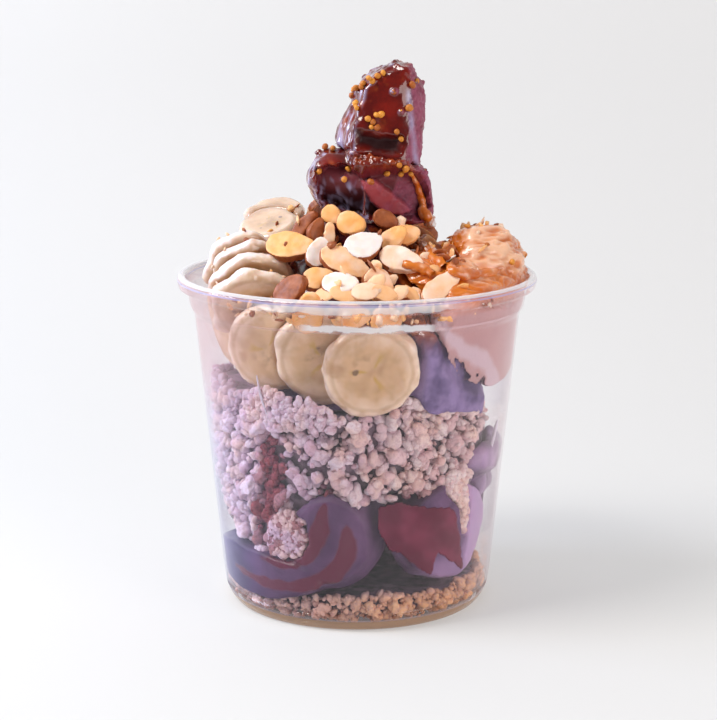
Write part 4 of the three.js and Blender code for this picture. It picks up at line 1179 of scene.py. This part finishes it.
# ---------------------------------------------------------------- bee pollen
# Golden brown grains of bee pollen, about 2.3 mm across, sprinkled over the tower and to its right.
grainy = Material("bee_pollen")
tone = grainy.attribute("tone")
pollen_surface = grainy.surface(grainy.principled({
    "Base Color": grainy.mix(tone, (0.42, 0.10, 0.01), (0.80, 0.33, 0.035)), "Roughness": 0.5,
    "Normal": grainy.bump(grainy.spots(0.6, 2), 0.15, 0.6)}))
CLUSTERS = [
    # piece, how far before the middle, then (x, z) of grains as seen from the front
    ("tower_top", 14, [(-0.3, 169.3), (0.3, 167.6), (1.8, 167.8), (4, 170.3), (6.5, 171.2), (8.1, 172.1),
                        (17, 168.7), (0.3, 161.6), (15.9, 161.6), (3.4, 158.2), (4.9, 157.3), (5.9, 159.4),
                        (7.4, 159.5), (4.4, 155.7), (6.1, 155.5), (12.5, 154.2), (14.1, 152), (2.4, 169)]),
    ("tower_low", 16, [(-7.5, 150.6), (-4.7, 150.3), (-2.2, 151.6), (-9.7, 149.1), (-7.5, 148.7),
                       (2.5, 149.7), (4.3, 149.1), (6, 148.5), (7.8, 148.1), (5, 150), (9.4, 146.3),
                       (12.8, 144.4), (15, 143.2), (14.1, 141.8), (-2.5, 142.5), (9.1, 141.9),
                       (-11.9, 142.8), (16.8, 142)]),
    ("nut_butter_scoop", 18, [(33.2, 126.4), (34.8, 124.5), (40.1, 127.1), (45.4, 126.4), (32.3, 127.4),
                              (26.4, 119.8), (28, 118.9), (24.8, 117.6), (23.6, 119.5), (25.4, 121.4),
                              (29, 121), (30.5, 118)]),
]
ON_SOLIDS = [
    # grains that the solids carry too
    (21.7, 0, 140.5), (14.7, 7.1, 142.4), (-4.2, 7.2, 145.5), (-10.1, 1.5, 145.9), (-11.9, -7.8, 147.1),
    (-4, -19.1, 139.9), (-0.6, -14.8, 145.3), (4.3, -20.8, 139.4), (20.3, -0.7, 168.5), (17.1, 4.4, 160.9),
    (10.4, 5.2, 158.9), (5.6, 4, 166.6), (2.7, 1.1, 170.2), (-0.9, -4.8, 166.6), (-1.7, -6.1, 165),
    (-0.3, -12.7, 162.8), (4.7, -14.4, 170), (11.6, -15, 166.8), (13.6, -15.4, 160.5), (18.7, -10.7, 169.8),
    (53.9, -1.7, 113.4), (51.4, 6.8, 111.1), (41.3, 12, 114.1), (38.8, 6.2, 120), (29.5, 4.9, 113.5),
    (26.5, 0.7, 109.7), (28.2, -8.9, 116.1), (32.4, -22.9, 108.3), (37.1, -25.1, 110), (40.8, -19.4, 119.3),
    (48.6, -20.3, 114.2), (53, -10.8, 115.2)]
places = list(ON_SOLIDS)
for name, ahead, seen in CLUSTERS:
    meet = cast_on([name])
    for x, z in seen:
        found = meet((x, -ahead, z))
        if found:
            places.append(found[0] + 0.75 * found[1])
places = np.array(places)
bead = [clump_shape(2, 0.12, s + 70) for s in range(4)]
points, faces, owner = scatter(bead, places, random.uniform(1.35, 1.85, len(places)), random, 0.95)
pollen = build("pollen_grains", points * MM, faces, pollen_surface)
mark(pollen, "tone", random.random(len(places))[owner])
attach(pollen, "root")

# ---------------------------------------------------------------- wet patch
# Red juice pressed in a ragged sheet between the front right acai and the wall, from an outline of
# (angle, height) corners. It is cut from a fine grid, and thins out at its border.
PATCH = [(8.9, 41.7), (15.5, 42.8), (27.2, 40.3), (36.2, 39.1), (41.4, 36.9), (45.1, 27.5), (49.1, 16.8),
         (40.3, 21.7), (34, 25.2), (31.2, 18.0), (26.7, 20.1), (19.8, 25.2), (12.6, 27.9), (9.1, 33.8)]
PATCH_GRID, PATCH_ALONG, PATCH_HEIGHTS = 0.5, (3, 43), (14, 46)
PATCH_INTO_WALL, PATCH_INSIDE = 0.35, 0.5
across, heights = np.arange(*PATCH_ALONG, PATCH_GRID), np.arange(*PATCH_HEIGHTS, PATCH_GRID)
grid = np.array([(s, z) for z in heights for s in across])
as_points = np.stack([grid[:, 0], grid[:, 1], np.zeros(len(grid))], 1)
gap = outside_outline(grid, unrolled(PATCH)) + 0.7 * grain(as_points, 5, 3, 4)
columns = len(across)
cells = [(r * columns + c, r * columns + c + 1, (r + 1) * columns + c + 1, (r + 1) * columns + c)
         for r in range(len(heights) - 1) for c in range(columns - 1)]
cells = [cell for cell in cells if min(gap[list(cell)]) < 0]
used = sorted({i for cell in cells for i in cell})
renumber = {old: new for new, old in enumerate(used)}
cells = [tuple(renumber[i] for i in cell) for cell in cells]
flat, edge_gap = grid[used], gap[used]
layers = [around(flat[:, 0] / HALFWAY, wall_radius(flat[:, 1]) - inside, flat[:, 1])
          for inside in (-PATCH_INTO_WALL, np.where(edge_gap > 0, 0.0, PATCH_INSIDE))]
count = len(used)
sheet_faces = cells + [tuple(i + count for i in reversed(cell)) for cell in cells]
edges = dict.fromkeys(edge for cell in cells for edge in zip(cell, cell[1:] + cell[:1]))
sheet_faces += [(b, a, a + count, b + count) for a, b in edges if (b, a) not in edges]
juice = Material("juice_patch")
patch = build("juice_patch", np.concatenate(layers) * MM, sheet_faces, juice.surface(juice.principled({
    "Base Color": juice.mix(juice.spots(9, 3).between(0.35, 0.7), (0.115, 0.008, 0.03), (0.20, 0.024, 0.06)),
    "Roughness": 0.4, "Specular IOR Level": 0.25})))
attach(patch, "root")
